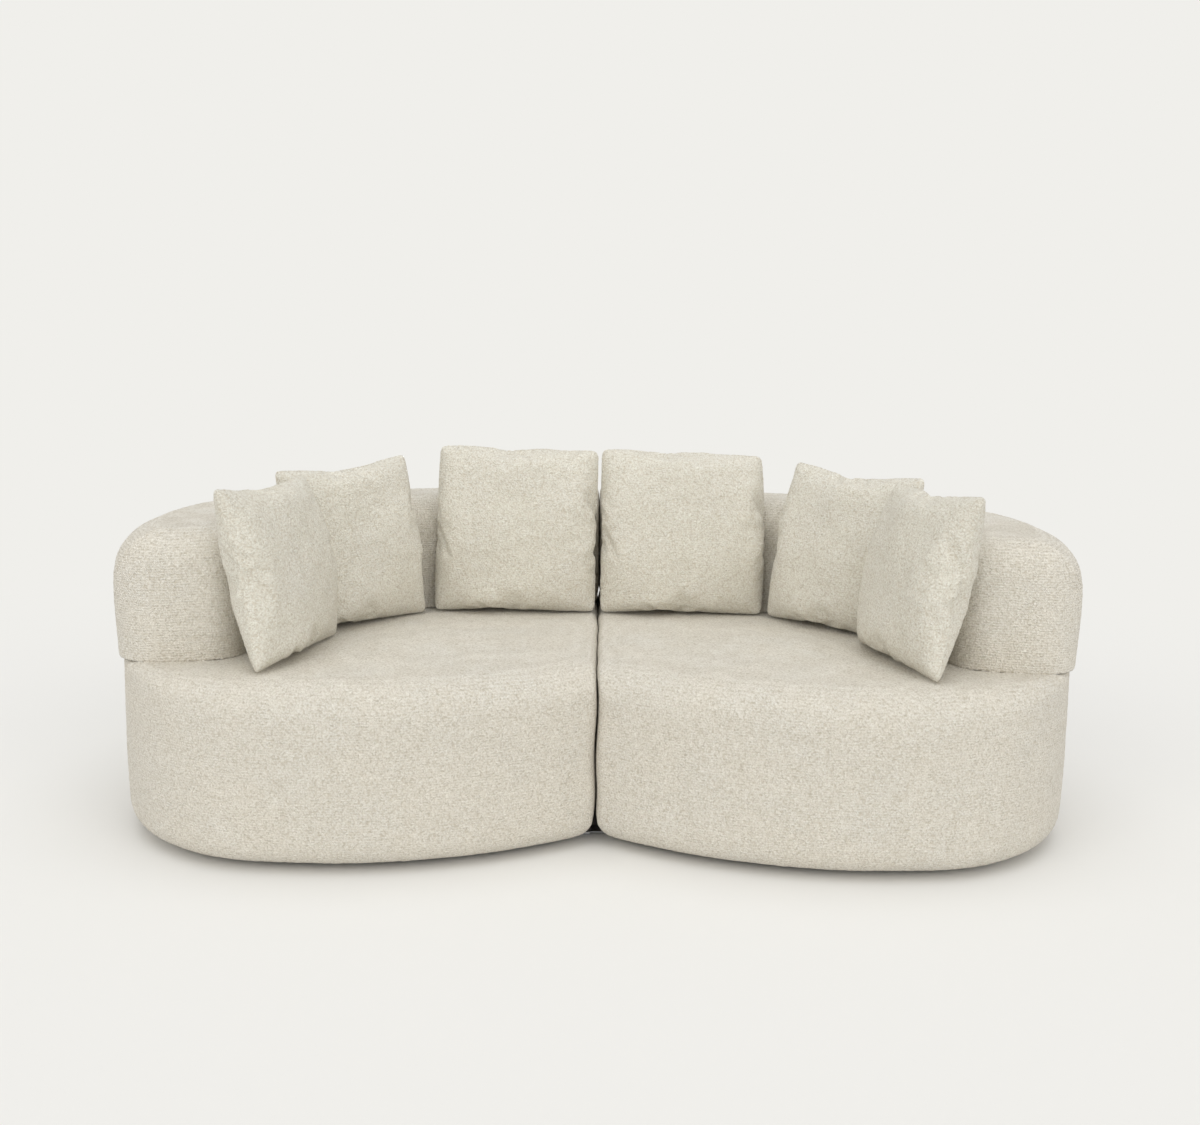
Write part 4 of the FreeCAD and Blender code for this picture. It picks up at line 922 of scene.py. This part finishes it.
def buildSewing(sizes):
    tree = bpy.data.node_groups.new("sewn_edge", "GeometryNodeTree")
    names = {}
    kinds = {"Cushion": "Geometry"}
    for name, value in sizes.items():
        kinds[name] = "Vector" if isinstance(value, tuple) else "Float"
    kinds["Material"] = "Material"
    for name, kind in kinds.items():
        socket = tree.interface.new_socket(name, in_out="INPUT", socket_type="NodeSocket" + kind)
        names[name] = socket.identifier
    tree.interface.new_socket("Seam", in_out="OUTPUT", socket_type="NodeSocketGeometry")

    def add(kind, settings=None, **values):
        node = tree.nodes.new(kind)
        for key, value in (settings or {}).items():
            setattr(node, key, value)
        for key, value in values.items():
            socket = node.inputs[key.replace("_", " ")]
            if isinstance(value, bpy.types.NodeSocket):
                tree.links.new(value, socket)
            else:
                socket.default_value = value
        return node

    given = add("NodeGroupInput").outputs
    hem = add("GeometryNodeInputNamedAttribute", {"data_type": "FLOAT"}, Name="hem").outputs["Attribute"]
    above = {"data_type": "FLOAT", "operation": "GREATER_THAN"}
    onEdge = add("FunctionNodeCompare", above, A=hem, B=0.99).outputs[0]
    path = add("GeometryNodeMeshToCurve", Mesh=given["Cushion"], Selection=onEdge).outputs[0]
    evenly = "GeometryNodeResampleCurve", {"mode": "LENGTH"}
    even = add(*evenly, Curve=path, Length=given["Path step"]).outputs[0]
    ring = add("GeometryNodeCurvePrimitiveCircle", Resolution=6, Radius=given["Ridge radius"]).outputs[0]
    ridge = add("GeometryNodeCurveToMesh", Curve=even, Profile_Curve=ring).outputs[0]
    places = add(*evenly, Curve=path, Length=given["Stitch pitch"]).outputs[0]
    knot = add("GeometryNodeMeshIcoSphere", Radius=1.0, Subdivisions=1).outputs[0]
    along = add("GeometryNodeInputTangent").outputs[0]
    facing = add("FunctionNodeAlignRotationToVector", {"axis": "X"}, Vector=along).outputs[0]
    stitches = add(
        "GeometryNodeInstanceOnPoints", Points=places, Instance=knot, Rotation=facing,
        Scale=given["Stitch size"])
    both = add("GeometryNodeJoinGeometry")
    for source in (stitches.outputs[0], ridge):
        tree.links.new(source, both.inputs[0])
    made = add("GeometryNodeRealizeInstances", Geometry=both.outputs[0]).outputs[0]
    dressed = add("GeometryNodeSetMaterial", Geometry=made, Material=given["Material"]).outputs[0]
    add("NodeGroupOutput", Seam=dressed)
    return tree, names


sewingTree, sewingInputs = buildSewing(sewing)


def sewEdge(cushion, name):
    # the ridge and stitches of one cushion, as a mesh of their own
    obj = bpy.data.objects.new(name, cushion.data.copy())
    bpy.context.scene.collection.objects.link(obj)
    nodes = obj.modifiers.new("sewing", "NODES")
    nodes.node_group = sewingTree
    for key, value in sewing.items():
        nodes[sewingInputs[key]] = value
    nodes[sewingInputs["Material"]] = boucleCushionLit
    return bake(obj)


for name, sizes in cushions.items():
    obj = makeCushion(name, sizes)
    edge = sewEdge(obj, name + "_cushion_edge")
    dress(edge, boucleCushionLit, "cushion_boucle", name + "_cushion")
    replaced = name + "_cushion_cover", name + "_cushion_filling"
    dress(obj, boucleCushionLit, "cushion_boucle", name + "_cushion", *replaced)
bpy.data.objects.remove(pillowForm)
print("cushions made")

# frame, fittings and linings under the covers
def makePlain(name, light, dark, scale, stretch, rough, depth, **constants):
    m = Material(name)
    x, y, z = m.axes(m.place())
    place = m.point(x * stretch[0], y * stretch[1], z * stretch[2])
    grain = m.noise(place, scale, 4.0, 0.6)
    speck = m.noise(place, scale * 5, 2.0, 0.5)
    share = (grain * 1.5 - 0.4 + speck * 0.2).clamp()
    height = grain * 0.6 + speck * 0.4
    return m.finish(m.blend(share, dark, light), rough, height, depth, 0.6, **constants)


# material slot: name, light colour, dark colour, scale, stretch, roughness and depth
same = (1, 1, 1)
inner = {
    "plywood": (
        "plywood", (0.62, 0.44, 0.26), (0.42, 0.28, 0.15), 30.0, (1, 0.25, 9), 0.65, 0.0004),
    "fibreboard": (
        "fibreboard", (0.30, 0.19, 0.11), (0.20, 0.12, 0.07), 220.0, same, 0.75, 0.0003),
    "foam": (
        "cut_foam", (0.86, 0.80, 0.58), (0.70, 0.62, 0.40), 380.0, same, 0.95, 0.0008),
    "fibre_fill": (
        "fibre_fill", (0.90, 0.90, 0.88), (0.72, 0.72, 0.70), 120.0, (1, 1, 3), 0.95, 0.002),
    "webbing": (
        "elastic_webbing", (0.075, 0.065, 0.055), (0.02, 0.018, 0.016), 260.0, (1, 6, 1), 0.8, 0.0005),
    "dust_cloth": (
        "dust_cloth", (0.022, 0.022, 0.023), (0.008, 0.008, 0.009), 500.0, same, 0.9, 0.0003),
    "glide_plastic": (
        "glide_plastic", (0.035, 0.034, 0.033), (0.016, 0.016, 0.016), 300.0, same, 0.5, 0.0001),
}
materialOf = {slot: makePlain(*values) for slot, values in inner.items()}
materialOf["zinc_steel"] = makePlain(
    "zinc_steel", (0.66, 0.67, 0.69), (0.42, 0.44, 0.47), 90.0, (1, 4, 1), 0.38, 0.0001, Metallic=1.0)
materialOf["boucle"] = boucleBase
materialOf["cushion_boucle"] = boucleCushionLit
for entry in frame["record"]["subparts"]:
    node = frame["nodes"][entry["node"]]
    for slot in node.material_slots:
        slot.material = materialOf[entry["material_slot"]]
print("inner pieces finished")

# stage and light
stage = {
    "backdrop": linear(240, 239, 235),
    "floor": (0.842, 0.836, 0.815),
    "world": 0.60,
    "worldColour": (1.0, 0.99, 0.975),
    "fadeFrom": 1.75,  # metres from the middle, where the lit floor passes into the backdrop
    "fadeTo": 3.1,
    "squash": 0.62,  # the lit floor reaches further to the sides than to the front
    "size": 9.0,
}


def makeStage(sizes):
    mesh = bmesh.new()
    bmesh.ops.create_grid(mesh, x_segments=2, y_segments=2, size=sizes["size"])
    floor = newObject("floor", mesh)
    m = Material("pale_floor")
    x, y, z = m.axes(m.place())
    away = (x * x * sizes["squash"] + y * y) ** 0.5
    far = ((away - sizes["fadeFrom"]) / (sizes["fadeTo"] - sizes["fadeFrom"])).clamp()
    m.finish(sizes["floor"], 1.0, Specular_IOR_Level=0.0)
    plain = m.add("ShaderNodeEmission", {}, {"Color": sizes["backdrop"], "Strength": 1.0})
    mixed = m.add("ShaderNodeMixShader", {}, {0: far, 1: Wire(m, m.shader.outputs[0]), 2: plain})
    m.links.new(mixed.socket, m.nodes["Material Output"].inputs["Surface"])
    floor.data.materials.append(m.data)


def makeWorld(sizes):
    # lights the object; the camera and mirrors see the plain backdrop
    world = bpy.data.worlds.new("room")
    bpy.context.scene.world = world
    world.use_nodes = True
    nodes, links = world.node_tree.nodes, world.node_tree.links
    lit = nodes["Background"]
    lit.inputs["Color"].default_value = (*sizes["worldColour"], 1)
    lit.inputs["Strength"].default_value = sizes["world"]
    seen = nodes.new("ShaderNodeBackground")
    seen.inputs["Color"].default_value = (*sizes["backdrop"], 1)
    ray = nodes.new("ShaderNodeLightPath")
    either = nodes.new("ShaderNodeMath")
    either.operation = "MAXIMUM"
    links.new(ray.outputs["Is Camera Ray"], either.inputs[0])
    links.new(ray.outputs["Is Glossy Ray"], either.inputs[1])
    mix = nodes.new("ShaderNodeMixShader")
    links.new(either.outputs[0], mix.inputs[0])
    links.new(lit.outputs[0], mix.inputs[1])
    links.new(seen.outputs[0], mix.inputs[2])
    links.new(mix.outputs[0], nodes["World Output"].inputs[0])


softboxes = {
    # where each one stands, its strength, its spread in degrees and its colour
    "left_softbox": ((-2.2, -3.0, 1.9), 0.62, 50.0, (1.0, 0.99, 0.97)),
    "right_softbox": ((2.1, -3.0, 1.7), 0.62, 50.0, (1.0, 0.99, 0.98)),
    "overhead_softbox": ((0.1, -0.2, 3.5), 0.85, 60.0, (0.97, 0.99, 1.0)),
}


def addSoftbox(name, place, strength, spread, colour):
    data = bpy.data.lights.new(name, "SUN")
    data.energy = strength
    data.angle = math.radians(spread)
    data.color = colour
    light = bpy.data.objects.new(name, data)
    bpy.context.scene.collection.objects.link(light)
    light.location = place
    light.rotation_euler = (-Vector(place)).to_track_quat("-Z", "Y").to_euler()


makeStage(stage)
makeWorld(stage)
for name, values in softboxes.items():
    addSoftbox(name, *values)
bpy.context.scene.view_settings.view_transform = "Standard"

print("scene ready")
